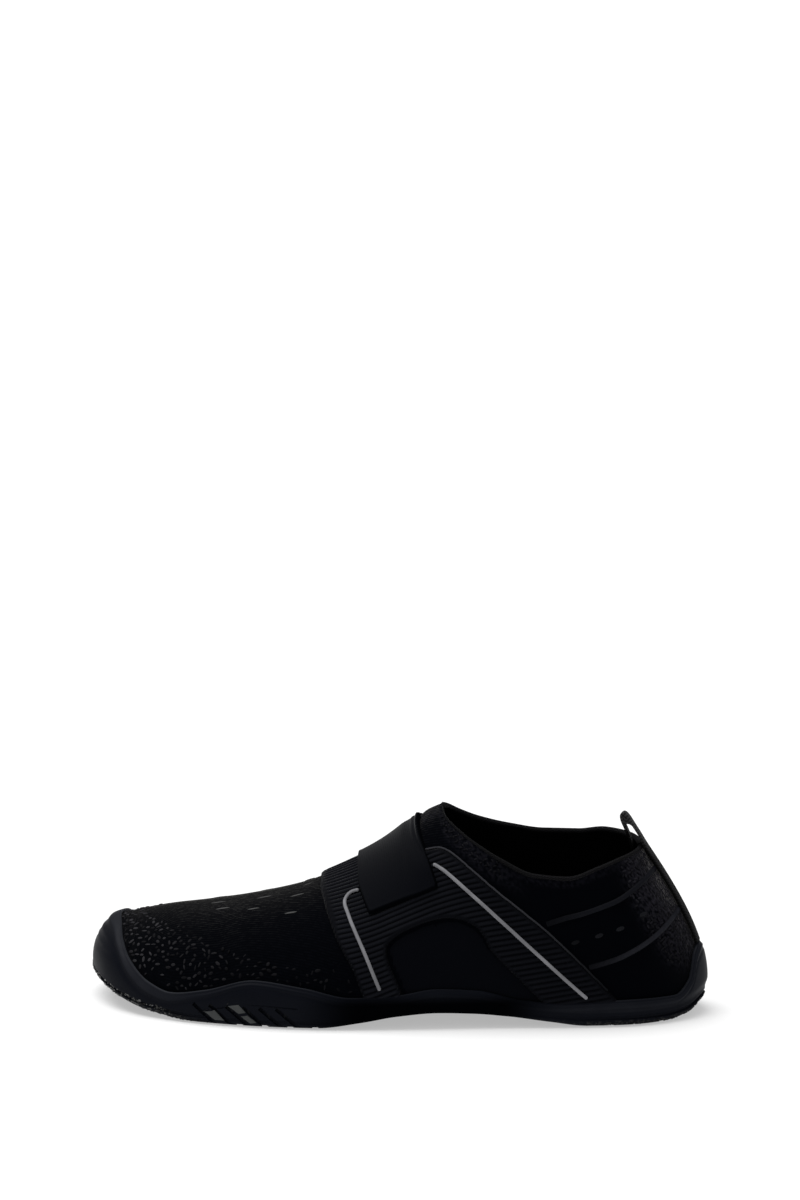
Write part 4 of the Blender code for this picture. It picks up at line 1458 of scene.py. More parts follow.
    def dress(self, piece: Piece) -> None:
        """Gives the cup, its lugs and its studs their rubbers."""
        settle(piece, Rubber().make(), ["outsole"])
        settle(self.marked_lugs(), GreyRubber().make())
        # The studs' pale colour is dust and painted light from below.
        dust_and_light = Thread("dusty_lit_studs", (0.006, 0.006, 0.007), (0.2, 0.2, 0.197), 0.8)
        settle(self.studs(), dust_and_light.make())


@dataclass
class Insole:
    """The cloth-faced foam sheet on the footbed."""

    last: Last
    columns: int = 260
    thickness: float = 3.0
    inset: float = 3.6

    def build(self) -> Piece:
        """Models the sheet with a rounded edge."""
        last = self.last
        ring = last.ring(self.columns)
        rim, _ = last.shares(ring)
        wall = last.patch(ring, np.linspace(0, 1, 6) * rim[:, None], True)
        edge = wall.lifted(last.wrap_gap)[:, 0] * LEVEL
        edge[:, 2] = last.underside.at("footbed", ring.low / last.percent)
        middle = last.spine(ring)
        middle = np.column_stack([middle, last.underside.at("footbed", middle[:, 0] / last.percent)])
        border = edge + unit(middle - edge) * self.inset
        rows = []
        for share in (0, 0.5, 0.9):
            rows.append(middle + (border - middle) * share + UP * last.gap)
        for pull, lift in ((0.5, 0), (0.1, 0.18), (0, 0.5), (0.1, 0.82), (0.5, 1)):
            rows.append(border + unit(middle - border) * pull + UP * (last.gap + lift * self.thickness))
        for share in (0.95, 0.85, 0.7, 0.5, 0.25, 0):
            rows.append(middle + (border - middle) * share + UP * (last.gap + self.thickness))
        points = wrapped(np.moveaxis(np.array(rows), 0, 1))
        piece = lay_grid("insole_sheet", last.to_scene(points), points[..., :2])
        close_up(piece)
        shade_smooth(piece)
        return piece

    def dress(self, piece: Piece) -> None:
        """Gives the sheet its cloth face."""
        cloth = Lining("insole_cloth", (0.0015, 0.0015, 0.0016), (0.005, 0.005, 0.0052), 1.1)
        settle(piece, cloth.make(), ["insole"])


@dataclass
class Upper:
    """The knitted upper with its creases, lining, collar edge and knitted marks."""

    last: Last
    columns: int = 420
    rows: int = 84
    wall: float = 2.2
    edge_depth: float = 0.42
    edge_drop: float = 0.35
    edge_over: float = 0.32
    edge_tall: float = 1.15
    window: SideLine = SideLine((
        (145, 8), (141.2, 20.5), (137.1, 29.5), (136.2, 36), (139.6, 40.1), (146.4, 44), (155.6, 47.6),
        (164.9, 48.6), (172.1, 46.5), (177, 42.4), (181, 35.1), (186.4, 29.3), (194.4, 21.1), (207, 8),
    ))
    heel_front: Stations = Stations("station place", (
        (20, 263), (28, 258), (38, 253), (48, 247), (56, 243), (66, 239), (74, 237),
    ))
    creases: Stations = Stations("station height end_station end_height depth width", (
        (78, 38, 84, 28, 0.5, 4.5), (91, 40, 96, 31, 0.4, 4), (61, 34, 66, 26, 0.3, 4),
        (186, 70, 214, 50, 0.7, 7), (214, 62, 238, 58, 0.5, 6), (252, 44, 262, 26, 0.4, 5),
    ))

    def share_rows(self, columns: Columns, rows: int) -> Array:
        """Rows from inside the cup to the ridge or the collar."""
        rim, end = self.last.shares(columns)
        low = np.clip(rim - 0.06, 0, None)
        return low[:, None] + (end - low)[:, None] * np.linspace(0, 1, rows)

    def tweed(self, patch: Patch) -> Array:
        """How much of the coarse two-tone knit shows: along the collar's front, and over the heel.

        Args:
            patch: the grid of the upper.

        Returns:
            The share, by column and row.
        """
        station, height = patch.points[..., 0], patch.points[..., 2]
        below = patch.uv[:, -1:, 1] - patch.uv[..., 1]
        band = smoothstep(13, 8, below) * smoothstep(200, 182, station) * smoothstep(140, 150, station)
        rim_band = 0.22 * smoothstep(5.5, 3, below) * smoothstep(150, 160, station)
        front = self.heel_front.at("place", height)
        heel = smoothstep(front - 5, front + 8, station) * smoothstep(18, 32, height)
        return np.clip(np.maximum(np.maximum(0.38 * band, rim_band), heel), 0, 1)

    def relief(self, patch: Patch) -> tuple[Array, Array]:
        """Soft troughs, the puff of the window and the mask of smooth cloth.

        Args:
            patch: the grid of the upper.

        Returns:
            The height in millimetres and the share of smooth cloth, by column and row.
        """
        flat = patch.side_view
        height = np.zeros(flat.shape[:2])
        for place, high, end_place, end_high, depth, width in self.creases.rows:
            away, _ = nearest_on(np.array([[place, high], [end_place, end_high]]), flat)
            height += depth * (0.4 * bell(away, 1.9 * width, width) - bell(away, 0, width))
        outline = self.window.path(6)
        inside = inside_of(outline, flat)
        distance, _ = nearest_on(outline, flat, closed=True)
        puff = np.where(inside, smoothstep(0, 9, distance), 0)
        smooth = np.where(inside, smoothstep(-0.5, 1.5, distance), 0)
        quarter = smoothstep(170, 186, flat[..., 0])
        return height + 0.6 * puff, np.clip(smooth + 0.85 * quarter, 0, 1)

    def build(self) -> Piece:
        """Models the hollow wall."""
        ring = self.last.ring(self.columns)
        patch = self.last.patch(ring, self.share_rows(ring, self.rows), True)
        height, smooth = self.relief(patch)
        points = self.last.to_scene(wrapped(patch.lifted(height)))
        uv = wrapped(patch.uv)
        uv[-1, :, 0] = uv[-2, :, 0] + (uv[-2, :, 0] - uv[-3, :, 0])
        piece = lay_grid("upper_knit", points, uv)
        paint_points(piece, "smooth", wrapped(smooth))
        paint_points(piece, "tweed", wrapped(self.tweed(patch)))
        close_up(piece, UP)
        piece.data.materials.append(Knit().make())
        piece.data.materials.append(Lining().make())
        settings = {"thickness": self.wall * MM, "offset": -1, "material_offset": 1, "material_offset_rim": 0}
        modify(piece, "SOLIDIFY", settings)
        shade_smooth(piece, 50)
        return piece

    def collar_line(self, count: int) -> tuple[Array, Array, Array]:
        """The edge of the opening, from the instep along the lateral side round the heel and back.

        Returns:
            Its points, its outward directions and the directions up the wall.
        """
        ring = self.last.ring(count)
        patch = self.last.patch(ring, self.share_rows(ring, self.rows), True)
        opening = self.last.collar.column("station")[0] * self.last.percent
        used = np.nonzero(ring.low > opening)[0]
        up = unit(patch.points[:, -1] - patch.points[:, -3])
        return patch.points[used, -1], patch.normals[used, -2], up[used]

    def collar_edge(self) -> Piece:
        """Models the folded edge round the opening."""
        points, facing, up = (wrapped(x) for x in self.collar_line(600))
        middle = points - facing * self.wall * self.edge_depth - up * self.edge_drop
        turn = np.linspace(0, 2 * np.pi, 13)
        rings = (
            middle[:, None]
            + np.cos(turn)[None, :, None] * facing[:, None] * (self.wall * 0.5 + self.edge_over)
            + np.sin(turn)[None, :, None] * up[:, None] * self.edge_tall
        )
        uv = np.stack(np.broadcast_arrays(distance_along(middle)[:, None], turn[None, :] * 1.2), axis=2)
        piece = lay_grid("collar_edge", self.last.to_scene(rings), uv)
        close_up(piece)
        shade_smooth(piece, 70)
        return piece

    def dress(self, piece: Piece, edge: Piece) -> None:
        """Gives the wall and its edge their knit."""
        settle(piece, piece.data.materials[0], ["upper"])
        folded = Webbing("folded_edge", (0.002, 0.002, 0.0024), (0.0098, 0.0096, 0.0104), 1.1)
        settle(edge, folded.make())


@dataclass
class KnitMarks:
    """Small raised marks of the knit: flecks, tufts, dashes and dots."""

    last: Last
    upper: Upper
    tries: int = 3600
    fleck_spacing: float = 2.25
    tuft_spacing: float = 1.5
    first_seed: int = 31
    collar_seed: int = 77
    stitch_depth: float = 0.45
    fleck_top: Stations = Stations("station height share tone", (
        (8, 40, 1, 1), (20, 38.5, 1, 1), (30, 37.6, 0.95, 0.86), (42, 36.5, 0.85, 0.54), (59, 33, 0.75, 0.4),
        (80, 29, 0.7, 0.3), (100, 26.5, 0.6, 0.25), (122, 24, 0.25, 0.18),
    ))
    dashes: Stations = Stations("station offset height length tone", (
        (57.4, 1.9, 43.2, 7.4, 0.8), (60, -5.6, 42.5, 7, 0.9), (74, -10.8, 44, 6, 0.8), (78, -1.2, 47, 8, 0.8),
        (91.4, -19.6, 44.9, 6, 0.9), (93.3, -7.2, 49.8, 7, 0.8), (97, 0.8, 52.8, 5, 0.6),
    ))
    dots: Stations = Stations("station height tone", (
        (247.4, 49.2, 1), (237.8, 43.8, 0.9), (228.6, 41.2, 0.7), (218.4, 38.4, 0.25),
    ))

    def frames(self, side: Side, low: Array, share: Array) -> tuple[Array, Array, Array]:
        """Points, directions along the knit rows and outward directions at places of one side.

        Args:
            side: the side.
            low: the foot station of each place.
            share: the share of the way from the rim to the top of each place.

        Returns:
            The points in shoe millimetres, and the two directions.
        """
        last = self.last
        columns = Columns(np.full(len(low), side is Side.LATERAL), low, last.foot_offset(side, low))
        ahead = Columns(columns.lateral, low + 0.5, last.foot_offset(side, low + 0.5))
        rim, end = last.shares(columns)
        height = rim + (end - rim) * share
        point, above, below = (
            last.surface(columns, np.clip(height + step, 0, 1)[:, None])[:, 0] for step in (0, 0.01, -0.01)
        )
        along = unit(last.surface(ahead, height[:, None])[:, 0] - point)
        return point, along, unit(np.cross(along, above - below)) * -side.sign

    def density(self, spread: Spread, point: Array) -> Array:
        """How crowded the marks are at points of the upper."""
        station, height = point[:, 0], point[:, 2]
        if spread is Spread.HEEL_TUFTS:
            front = self.upper.heel_front.at("place", height)
            beside_tape = smoothstep(4.6, 5.6, np.abs(point[:, 1]))
            return smoothstep(front - 2, front + 5, station) * beside_tape * smoothstep(24, 30, height)
        top = self.fleck_top.at("height", station)
        bare = 0.85 * bell(station, 39, 8) * smoothstep(24, 19, height)
        return self.fleck_top.at("share", station) * smoothstep(top + 1.5, top - 4, height) * (1 - bare)

    def scattered(self, spread: Spread) -> Piece:
        """Models the scattered marks of the toe or of the heel."""
        toe = spread is Spread.TOE_FLECKS
        spacing = self.fleck_spacing if toe else self.tuft_spacing
        groups = []
        for number, side in enumerate(Side):
            chance = np.random.default_rng(self.first_seed + number + 7 * toe)
            low = 3.2 + 119 * chance.random(self.tries) ** 1.35 if toe else chance.uniform(232, 271, self.tries)
            point, along, facing = self.frames(side, low, chance.uniform(0.02, 0.99, self.tries))
            wanted = chance.random(self.tries) < self.density(spread, point)
            kept: list[int] = []
            for i in np.nonzero(wanted)[0]:
                if not kept or np.linalg.norm(point[kept] - point[i], axis=1).min() > spacing:
                    kept.append(i)
            point, along, facing = point[kept], along[kept], facing[kept]
            count = len(kept)
            if toe:
                turn = np.where(chance.random(count) < 0.4, 0.1, chance.uniform(0.5, 2.6, count))
                size = bead_sizes(chance.uniform(1.4, 2.9, count), chance.uniform(0.8, 1.6, count), 0.5)
                tone = self.fleck_top.at("tone", point[:, 0]) * chance.uniform(0.25, 1, count) ** 1.8
            else:
                turn = np.where(np.floor(point[:, 2] / 1.9) % 2 > 0, 0.7, -0.7) + chance.uniform(-0.2, 0.2, count)
                size = bead_sizes(chance.uniform(1.6, 2.6, count), 1, self.stitch_depth)
                tone = chance.uniform(0.2, 0.9, count) * smoothstep(20, 62, point[:, 2])
            run = along * np.cos(turn)[:, None] + np.cross(facing, along) * np.sin(turn)[:, None]
            groups.append((self.last.to_scene(point + facing * 0.1), run, facing, size, tone))
        return lay_beads(spread.value, groups, 8)

    def dashed(self) -> Piece:
        """Models the short strokes of the vamp."""
        groups = []
        rows = np.array(self.dashes.rows)
        ridge = self.last.ridge.at("offset", rows[:, 0] / self.last.percent) * self.last.ball_width / 100
        for side in Side:
            offset = rows[:, 1] if side is Side.LATERAL else 2 * ridge - rows[:, 1]
            places = np.column_stack([rows[:, 0], offset, rows[:, 2]])
            point, along, facing = self.last.nearest(side, places)
            size = bead_sizes(rows[:, 3], 1, self.stitch_depth)
            groups.append((self.last.to_scene(point + facing * 0.12), along, facing, size, rows[:, 4]))
        return lay_beads("vamp_dashes", groups, 10)

    def dotted(self) -> Piece:
        """Models the dots between the heel stripes."""
        groups = []
        rows = np.array(self.dots.rows)
        for side in Side:
            point, facing = self.last.on_wall(side, rows[:, :2], 0.15)
            along = np.broadcast_to(np.array([1.0, 0.0, 0.35]), point.shape)
            size = bead_sizes(np.full(len(rows), 4.2), 2.0, 0.8)
            groups.append((self.last.to_scene(point), along, facing, size, rows[:, 2]))
        return lay_beads("heel_dots", groups, 12)

    def collar_tufts(self) -> Piece:
        """Models the slanting tufts in the band under the collar's edge."""
        points, facing, up = self.upper.collar_line(520)
        run = unit(np.gradient(points, axis=0))
        chance = np.random.default_rng(self.collar_seed)
        groups = []
        for line, drop in enumerate((2.6, 4.1, 5.6, 7.1)):
            chosen = np.arange(line, len(points), 2)
            place = points[chosen] - up[chosen] * (drop + chance.uniform(-0.5, 0.5, len(chosen)))[:, None]
            place += run[chosen] * chance.uniform(-0.5, 0.5, len(chosen))[:, None]
            strength = smoothstep(194, 172, place[:, 0]) + 0.6 * smoothstep(230, 246, place[:, 0])
            strong = chance.random(len(chosen)) < np.where(strength > 0.25, strength, 0)
            chosen, place, strength = chosen[strong], place[strong], strength[strong]
            slant = up[chosen] * (0.8 if line % 2 else -0.8) + run[chosen]
            size = bead_sizes(1.2 + 0.9 * chance.random(len(place)), 0.8, self.stitch_depth)
            tone = (0.15 + 0.7 * chance.random(len(place))) * strength
            groups.append((self.last.to_scene(place + facing[chosen] * 0.08), slant, facing[chosen], size, tone))
        return lay_beads("collar_tufts", groups, 8)

    def dress(self) -> None:
        """Models and dresses all the marks."""
        dark = (0.003, 0.003, 0.0038)
        flecks = Thread("pale_flecks", (0.0014, 0.0014, 0.0022), (0.038, 0.037, 0.041))
        heel = Thread("heel_tufts", (0.004, 0.004, 0.005), (0.0145, 0.014, 0.0178))
        settle(self.scattered(Spread.TOE_FLECKS), flecks.make())
        settle(self.scattered(Spread.HEEL_TUFTS), heel.make())
        settle(self.dashed(), Thread("pale_dashes", dark, (0.085, 0.085, 0.085)).make())
        settle(self.dotted(), Thread("pale_dots", dark, (0.0095, 0.0098, 0.012)).make())
        settle(self.collar_tufts(), Thread("dull_tufts", dark, (0.01, 0.0097, 0.0122)).make())


def two_sided(
    name: str,
    last: Last,
    span: tuple[float, float, int, int],
    outline: Array,
    shape: Callable[[Patch, Array], tuple[Array, dict[str, Array]]],
    cloth: float,
    merge: float,
) -> Piece:
    """Models a panel over the instep from two trimmed sides that meet on the ridge.

    Args:
        name: the panel's name.
        last: the form that it lies on.
        span: the first and last station of its grid, and the grid's columns and rows.
        outline: its outline in the side view.
        shape: gives a side's heights and paints, by how far inside the outline its points lie.
        cloth: the thickness of its cloth in millimetres.
        merge: the distance within which points of the two sides are merged, in metres.

    Returns:
        The object.
    """
    halves = []
    for side in Side:
        patch = last.wall(side, *span)
        kept, depth = patch.trimmed(outline)
        height, paints = shape(patch, depth)
        half = lay_grid(f"{name}_{side.value}", last.to_scene(patch.lifted(height)), patch.uv)
        for paint, values in paints.items():
            paint_points(half, paint, values)
        keep_faces(half, kept)
        close_up(half, np.array([0.0, side.sign, 0.0]))
        halves.append(half)
    piece = join_pieces(name, halves)
    close_up(piece, UP, merge)
    modify(piece, "SOLIDIFY", {"thickness": cloth * MM, "offset": -1})
    shade_smooth(piece)
    return piece


@dataclass
class Saddle:
    """The ribbed panel over the midfoot."""

    last: Last
    outside: float = 1.65
    rib_pitch: float = 2.45
    rib_depth: float = 0.62
    bead_width: float = 0.9
    bead_lift: float = 1.1
    cloth: float = 0.5
    merge: float = 3e-5
    span: tuple[float, float, int, int] = (96.0, 250.0, 170, 290)
    front: SideLine = SideLine(
        ((101.0, 66.0), (103.0, 55.0), (106.5, 49.5), (113.4, 37.6), (121.6, 24.6), (127.5, 8.0))
    )
    rear: SideLine = SideLine((
        (240.5, 8), (232.2, 16.9), (216.3, 33.5), (204.8, 44.2), (180, 63), (172.2, 68.9), (163, 75),
        (158, 76.4), (151.6, 75.2), (148, 77), (143, 84), (141, 98),
    ))
    rib_rise: Stations = Stations("station rise", (
        (95, 0), (118, 3.6), (128, 6.4), (142, 12), (157, 18.2), (172, 22.4), (195, 26.4), (245, 35),
    ))

    def relief(self, patch: Patch, depth: Array, window: SideLine) -> tuple[Array, dict[str, Array]]:
        """Height of the panel with its ribs, and what is painted on it.

        Args:
            patch: the trimmed grid.
            depth: how far inside the outline every point lies.
            window: the outline of the arched window.

        Returns:
            The height in millimetres, and how much painted rib highlight and painted edge shade every point has.
        """
        flat = patch.side_view
        at_front, _ = nearest_on(self.front.path(6), flat)
        at_rear, _ = nearest_on(self.rear.path(6), flat)
        at_window, _ = nearest_on(window.path(6), flat)
        laid = patch.points[:, :1, 2] + patch.uv[..., 1]
        level = (laid - self.rib_rise.at("rise", flat[..., 0])) / self.rib_pitch
        wave = np.abs(np.sin(np.pi * level)) ** 0.8
        hem = 1 + 1.7 * smoothstep(38, 46, flat[..., 1])
        ribbed = smoothstep(hem, hem + 0.9, at_front) * smoothstep(1.3, 2.2, at_rear)
        ribbed = ribbed * smoothstep(1.2, 2.2, at_window)
        body = smoothstep(-0.15, 0.9, depth)
        relief = wave * ribbed + 0.75 * (1 - ribbed)
        height = 0.1 + (self.outside - self.cloth + self.rib_depth * relief) * body
        # Painted highlight on the rib backs, fainter towards the heel, painted shade in the grooves; under is
        # painted shade along the cut edge.
        faint = 0.7 - 0.16 * smoothstep(150, 200, flat[..., 0])
        high = np.clip(wave * ribbed * faint + (1 - ribbed) * 0.36, 0, 1)
        return height, {"rib": high, "under": smoothstep(0.4, 0.1, depth)}

    def build(self, window: SideLine) -> Piece:
        """Models both sides and joins them over the instep.

        Args:
            window: the outline of the arched window.

        Returns:
            The object.
        """
        outline = np.concatenate([self.front.path(8), window.path(8), self.rear.path(8)])

        def shape(patch: Patch, depth: Array) -> tuple[Array, dict[str, Array]]:
            """The relief of one side."""
            return self.relief(patch, depth, window)

        return two_sided("saddle_panel", self.last, self.span, outline, shape, self.cloth, self.merge)

    def bead(self) -> Piece:
        """Models the fine cord along the rear edge of both sides."""
        line = SideLine(self.rear.rows[1:9]).path(10)
        cords = []
        for side in Side:
            points, facing = self.last.on_wall(side, line, self.bead_lift)
            middle, thick = self.last.to_scene(points), self.bead_width * MM
            cords.append(lay_cord(f"bead_{side.value}", middle, facing, thick, thick, 8))
        piece = join_pieces("saddle_bead", cords)
        # Painted light: the cord is lighter towards the top and darker lower down.
        heights = np.array([point.co.z for point in piece.data.vertices]) / MM
        tone = piece.data.attributes.new("tone", "FLOAT", "POINT")
        tone.data.foreach_set("value", smoothstep(14, 66, heights).astype(np.float32))
        return piece

    def dress(self, piece: Piece) -> None:
        """Gives the panel its ribbed knit and the bead its cord."""
        settle(piece, RibbedKnit().make(), ["saddle"])
        cord = Thread("pale_bead", (0.005, 0.0053, 0.0066), (0.032, 0.032, 0.037))
        settle(self.bead(), cord.make())


@dataclass
class Strap:
    """The elastic band across the instep, on top of the saddle."""

    last: Last
    inside: float = 1.9
    thickness: float = 1.6
    cloth: float = 1.2
    merge: float = 1e-5
    span: tuple[float, float, int, int] = (114.0, 166.0, 150, 190)
    outline: SideLine = SideLine((
        (118.5, 80), (119.6, 66), (122.4, 56.5), (127.8, 47.8), (129.6, 48), (157.6, 60.8), (157.6, 62.4),
        (153.8, 71), (147.6, 83), (145.4, 98),
    ))
    rear: SideLine = SideLine(outline.rows[6:])

    def relief(self, patch: Patch, depth: Array) -> tuple[Array, dict[str, Array]]:
        """Height of the band with its bound rear edge, and the painted shade along its cut edge."""
        flat = patch.side_view
        at_rear, _ = nearest_on(self.rear.path(8), flat)
        body = smoothstep(-0.1, 0.9, depth)
        binding = 0.22 * bell(at_rear, 0.8, 0.5) + 0.24 * bell(at_rear, 2.9, 0.5) - 0.22 * bell(at_rear, 1.9, 0.4)
        hem = 0.1 * bell(depth, 0.9, 0.7)
        sink = 1.5 * smoothstep(9, 0.5, at_rear) * smoothstep(66, 77, flat[..., 1])
        height = self.inside + (self.thickness + binding + hem) * body - sink
        return height, {"under": smoothstep(1.1, 0.6, depth)}

    def build(self) -> Piece:
        """Models both sides and joins them over the instep."""
        outline = np.array(self.outline.rows)
        return two_sided("strap_band", self.last, self.span, outline, self.relief, self.cloth, self.merge)

    def dress(self, piece: Piece) -> None:
        """Gives the band its elastic cloth."""
        settle(piece, Elastic().make(), ["strap"])


@dataclass
class Trim:
    """The reflective piping, the welded heel stripes and the heel tape with its loop."""

    last: Last
    piping_width: float = 1.6
    piping_depth: float = 1.3
    piping_lift: float = 2.15
    stripe_width: float = 2.4
    stripe_cloth: float = 0.3
    tape_width: float = 9.0
    loop_lean: float = 0.16
    tape_thickness: float = 1.1
    tape_lift: float = 1.35
    tape_end: float = 31.9
    tape_lines: int = 9
    tape_crown: float = 0.25
    tape_bevel: float = 0.3
    front_piping: SideLine = SideLine(
        ((121.9, 55.4), (118.4, 54.0), (116.4, 51.0), (118.4, 46.8), (126.3, 32.9), (132.8, 18.4))
    )
    rear_piping: SideLine = SideLine(((156.0, 69.6), (160.6, 67.6), (176.7, 55.4), (199.1, 35.9), (223.0, 13.8)))
    upper_stripe: SideLine = SideLine((
        (205.6, 46.4), (213, 48.8), (222, 51), (230.7, 53.8), (237.3, 56.4), (244.5, 61), (251, 65.4),
        (258, 69.4),
    ))
    lower_stripe: SideLine = SideLine(((224.4, 27.0), (237.8, 31.0), (251.8, 38.5), (260.2, 45.5), (270.0, 55.5)))
    pull_loop: SideLine = SideLine((
        (241.8, 70), (240.8, 74.6), (239.6, 78.6), (238, 82.4), (236.4, 86.2), (236.2, 88.4), (237.2, 89.2),
        (238.6, 88.2), (241.6, 83.6), (244.6, 78.9),
    ))

    def piping(self) -> None:
        """Models and dresses the four lengths of piping."""
        film = Film("reflective_piping", (0.15, 0.15, 0.16), (0.22, 0.22, 0.235), 0.5).make()
        for side in Side:
            for end, line in (("front", self.front_piping), ("rear", self.rear_piping)):
                points, facing = self.last.on_wall(side, line.path(10), self.piping_lift)
                middle = self.last.to_scene(relaxed(points, 3))
                name = f"piping_{end}_{side.value}"
                width, depth = self.piping_width * MM, self.piping_depth * MM
                piece = lay_cord(name + "_cord", middle, facing, width, depth)
                settle(piece, film, [name])

    def stripe(self, name: str, line: SideLine) -> Piece:
        """Models one stripe round the heel."""
        last = self.last
        half = last.run(Side.LATERAL, 198, 271.3, 120)
        columns = Columns(
            np.concatenate([np.full(120, True), np.full(119, False)]),
            np.concatenate([half.low, half.low[-2::-1]]),
            np.concatenate([half.offset, last.foot_offset(Side.MEDIAL, half.low[-2::-1])]),
        )
        rim, end = last.shares(columns)
        patch = last.patch(columns, rim[:, None] + (end - rim)[:, None] * np.linspace(0, 1, 170), False)
        kept, _ = patch.trimmed(line.band(self.stripe_width))
        away, _ = nearest_on(line.path(), patch.side_view)
        round_top = np.sqrt(np.clip(1 - (away / (self.stripe_width / 2)) ** 2, 0, 1))
        grown = smoothstep(line.rows[0][0] - 2, line.rows[0][0] + 22, patch.points[..., 0])
        piece = lay_grid(name, last.to_scene(patch.lifted(0.08 + (0.25 + 0.45 * grown) * round_top)), patch.uv)
        paint_points(piece, "tone", (0.12 + 0.88 * grown) * (0.3 + 0.7 * round_top))
        keep_faces(piece, kept)
        close_up(piece, REARWARD)
        modify(piece, "SOLIDIFY", {"thickness": self.stripe_cloth * MM, "offset": -1})
        shade_smooth(piece)
        return piece

    def stripes(self) -> None:
        """Models and dresses the two stripes."""
        dark = (0.0025, 0.0026, 0.0036)
        dull = Thread("dull_film", dark, (0.0064, 0.0068, 0.0092), 0.55).make()
        clear = Thread("clear_film", dark, (0.0135, 0.014, 0.018), 0.55).make()
        settle(self.stripe("stripe_upper", self.upper_stripe), dull, ["heel_stripe_upper"])
        settle(self.stripe("stripe_lower", self.lower_stripe), clear, ["heel_stripe_lower"])

    def heel_back(self, height: Array, aside: float, lift: float) -> Array:
        """Stations of the heel's back at heights, a little to one side of its middle."""
        ring = self.last.ring(520)
        _, end = self.last.shares(ring)
        near = np.nonzero(ring.low > 240)[0]
        columns = Columns(ring.lateral[near], ring.low[near], ring.offset[near])
        share = np.linspace(0, 1, 60) * end[near][:, None]
        wall = self.last.patch(columns, share, False).lifted(lift)
        found = []
        for level in height:
            cut = np.array([[np.interp(level, c[:, 2], c[:, i]) for i in (0, 1)] for c in wall])
            order = np.argsort(cut[:, 1])
            found.append(np.interp(aside, cut[order, 1], cut[order, 0]))
        return np.array(found)

    def tape(self) -> Piece:
        """Models the tape with its loop."""
        loop = self.pull_loop.path(8)
        heights = np.linspace(75, self.tape_end, 40)
        lines = []
        shares = np.linspace(-0.5, 0.5, self.tape_lines)
        for share in shares:
            aside = share * self.tape_width
            back = self.heel_back(heights, aside, self.tape_lift + self.tape_crown * (1 - (2 * share) ** 4))
            run = np.column_stack([back, np.full(len(back), aside), heights])
            lean = -self.loop_lean * aside * smoothstep(72, 80, loop[:, 1])[:, None] * UP
            lines.append(np.concatenate([np.insert(loop, 1, aside, axis=1) + lean, run]))
        points = relaxed(np.array(lines), 4)
        middle = points[self.tape_lines // 2]
        uv = np.stack(np.broadcast_arrays(points[:, :, 1], distance_along(middle)[None, :]), axis=2)
        piece = lay_grid("heel_tape_loop", self.last.to_scene(points), uv)
        # Painted shade: the inner face of the loop's front limb and the tape's edges near the loop; below the loop
        # the tape is darkened by half.
        front_limb = np.arange(points.shape[1]) < len(loop) // 2
        inside = np.broadcast_to(front_limb * smoothstep(86, 80, middle[:, 2]), points.shape[:2])
        edge = smoothstep(0.28, 0.5, np.abs(shares))[:, None] * smoothstep(84, 72, points[..., 2])
        low = 0.5 * smoothstep(82, 68, points[..., 2])
        paint_points(piece, "under", np.maximum(np.maximum(inside, 0.9 * edge), low))
        close_up(piece, REARWARD)
        settings = {"thickness": self.tape_thickness * MM, "offset": 0, "use_even_offset": True}
        modify(piece, "SOLIDIFY", settings)
        settings = {"width": self.tape_bevel * MM, "segments": 2, "limit_method": "ANGLE"}
        settings["angle_limit"] = np.radians(60)
        modify(piece, "BEVEL", settings)
        shade_smooth(piece)
        return piece

    def loop_tip(self) -> Piece:
        """Models the stitched fold that fills the loop's tip."""
        loop = self.pull_loop.path(8)
        crown = int(loop[:, 1].argmax())
        heights = np.linspace(84.6, 88.9, 8)
        front = np.interp(heights, loop[: crown + 1, 1], loop[: crown + 1, 0])
        rear = np.interp(heights, loop[crown:][::-1, 1], loop[crown:][::-1, 0])
        share = np.linspace(0, 1, 5)
        sag = 0.9 * (2 * share - 1) ** 2 * smoothstep(86.6, 84.6, heights)[:, None]
        station = front[:, None] + (rear - front)[:, None] * share
        points = np.stack([station, np.zeros(station.shape), heights[:, None] - sag], axis=2)
        uv = np.stack([station, points[..., 2]], axis=2)
        piece = lay_grid("heel_loop_tip", self.last.to_scene(points), uv)
        close_up(piece, np.array([0.0, -1.0, 0.0]))
        modify(piece, "SOLIDIFY", {"thickness": self.tape_width * 0.9 * MM, "offset": 0})
        for point in piece.data.vertices:
            point.co.z -= self.loop_lean * point.co.y
        shade_smooth(piece)
        return piece

    def dress(self) -> None:
        """Models and dresses all the trim."""
        self.piping()
        self.stripes()
        woven = Webbing().make()
        settle(self.tape(), woven, ["heel_tape"])
        settle(self.loop_tip(), woven)


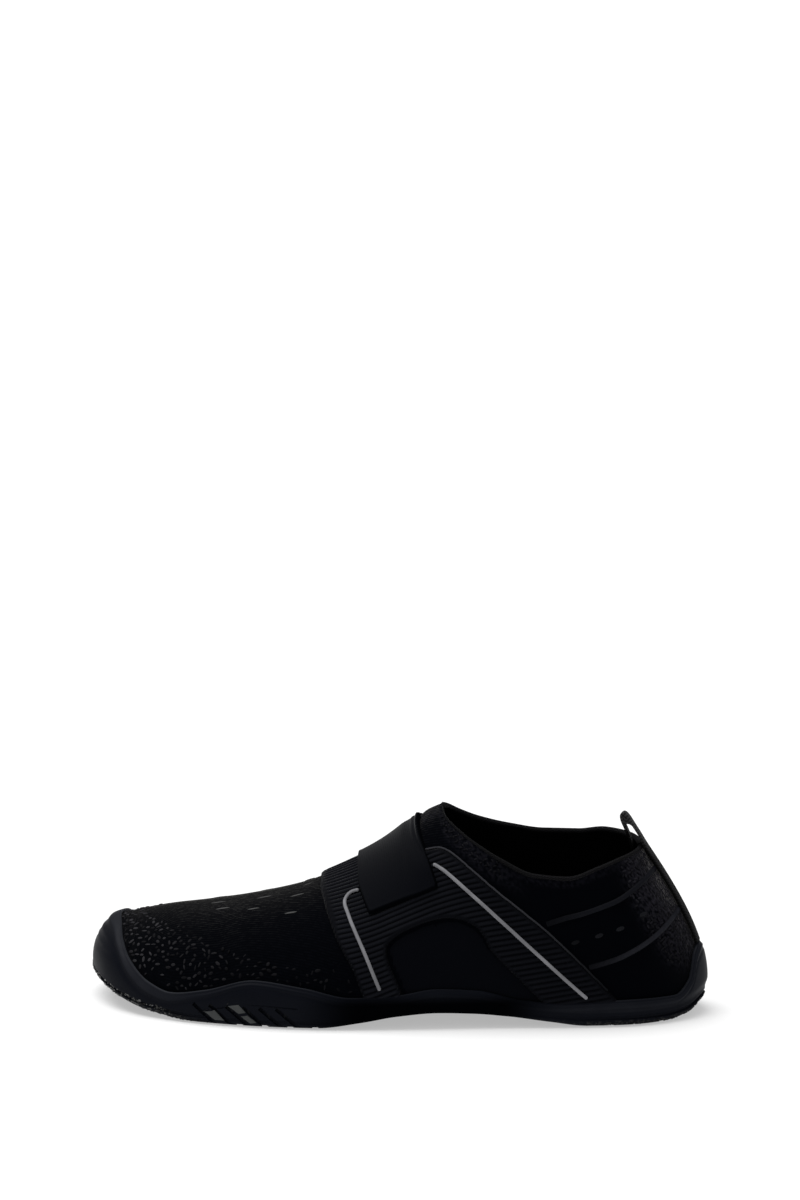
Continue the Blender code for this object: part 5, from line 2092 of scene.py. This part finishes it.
@dataclass
class Studio:
    """Floor, light and camera."""

    azimuth: float = 5.0
    elevation: float = 15.0
    distance: float = 6.0
    pixel: float = 0.443
    origin_pixel: tuple[float, float] = (398.3, 1003.8)
    picture: tuple[float, float] = (800.0, 1200.0)
    floor_tone: float = 0.565
    floor_glow: float = 0.42
    fill: float = 0.42
    top_light: float = 2.8
    softness: float = 50.0
    light_from: tuple[float, float, float] = (-0.28, 0.12, 1.0)

    def floor(self) -> None:
        """Lays the pale floor, lit a little from below so that its shadows stay soft."""
        bpy.ops.object.select_all(action="DESELECT")
        bpy.ops.mesh.primitive_plane_add(size=40)
        floor = bpy.context.object
        floor.name = "floor"
        tree = Tree("pale_floor")
        tone, white = (*[self.floor_tone] * 3, 1.0), (1.0, 1.0, 1.0, 1.0)
        look = tree.surface(tone, 0.95, None, 0.1, emission_color=white, emission_strength=self.floor_glow)
        floor.data.materials.append(look)

    def lights(self) -> None:
        """Sets the soft light from above and the light all round."""
        world = bpy.data.worlds.new("studio")
        bpy.context.scene.world = world
        world.use_nodes = True
        world.node_tree.nodes["Background"].inputs["Color"].default_value = (1.0, 1.0, 1.0, 1.0)
        world.node_tree.nodes["Background"].inputs["Strength"].default_value = self.fill
        bpy.ops.object.light_add(type="SUN", location=(0, 0, 2))
        light = bpy.context.object
        light.name = "top_light"
        light.data.energy = self.top_light
        light.data.angle = np.radians(self.softness)
        light.rotation_euler = (-Vector(self.light_from)).to_track_quat("-Z", "Y").to_euler()
        bpy.context.scene.view_settings.view_transform = "Standard"

    def camera(self) -> None:
        """Sets the camera at the picture's angle and framing."""
        a, e = np.radians(self.azimuth), np.radians(self.elevation)
        back = Vector((np.sin(a) * np.cos(e), -np.cos(a) * np.cos(e), np.sin(e)))
        data = bpy.data.cameras.new("camera")
        camera = bpy.data.objects.new("camera", data)
        bpy.context.scene.collection.objects.link(camera)
        tall = self.picture[1] * self.pixel * MM
        data.sensor_width = 36
        data.lens = data.sensor_width * self.distance / tall
        data.clip_start, data.clip_end = 0.05, 60
        right, low = ((p - s / 2) * self.pixel * MM for p, s in zip(self.origin_pixel, self.picture))
        camera.location = back * self.distance
        aim = back.to_track_quat("Z", "Y").to_matrix()
        tilt = Matrix.Rotation(np.arctan2(low, self.distance), 3, "X")
        turn = Matrix.Rotation(np.arctan2(right, self.distance), 3, "Y")
        camera.rotation_euler = (aim @ tilt @ turn).to_euler()
        bpy.context.scene.camera = camera


def main() -> None:
    """Builds the studio and every piece of the shoe."""
    logging.basicConfig(level=logging.INFO, format="%(message)s")
    studio = Studio()
    studio.floor()
    studio.lights()
    studio.camera()
    last = Last()
    sole = CupSole(last)
    sole.dress(sole.build())
    insole = Insole(last)
    insole.dress(insole.build())
    upper = Upper(last)
    upper.dress(upper.build(), upper.collar_edge())
    KnitMarks(last, upper).dress()
    saddle = Saddle(last)
    saddle.dress(saddle.build(upper.window))
    strap = Strap(last)
    strap.dress(strap.build())
    Trim(last).dress()


if __name__ == "__main__":
    main()
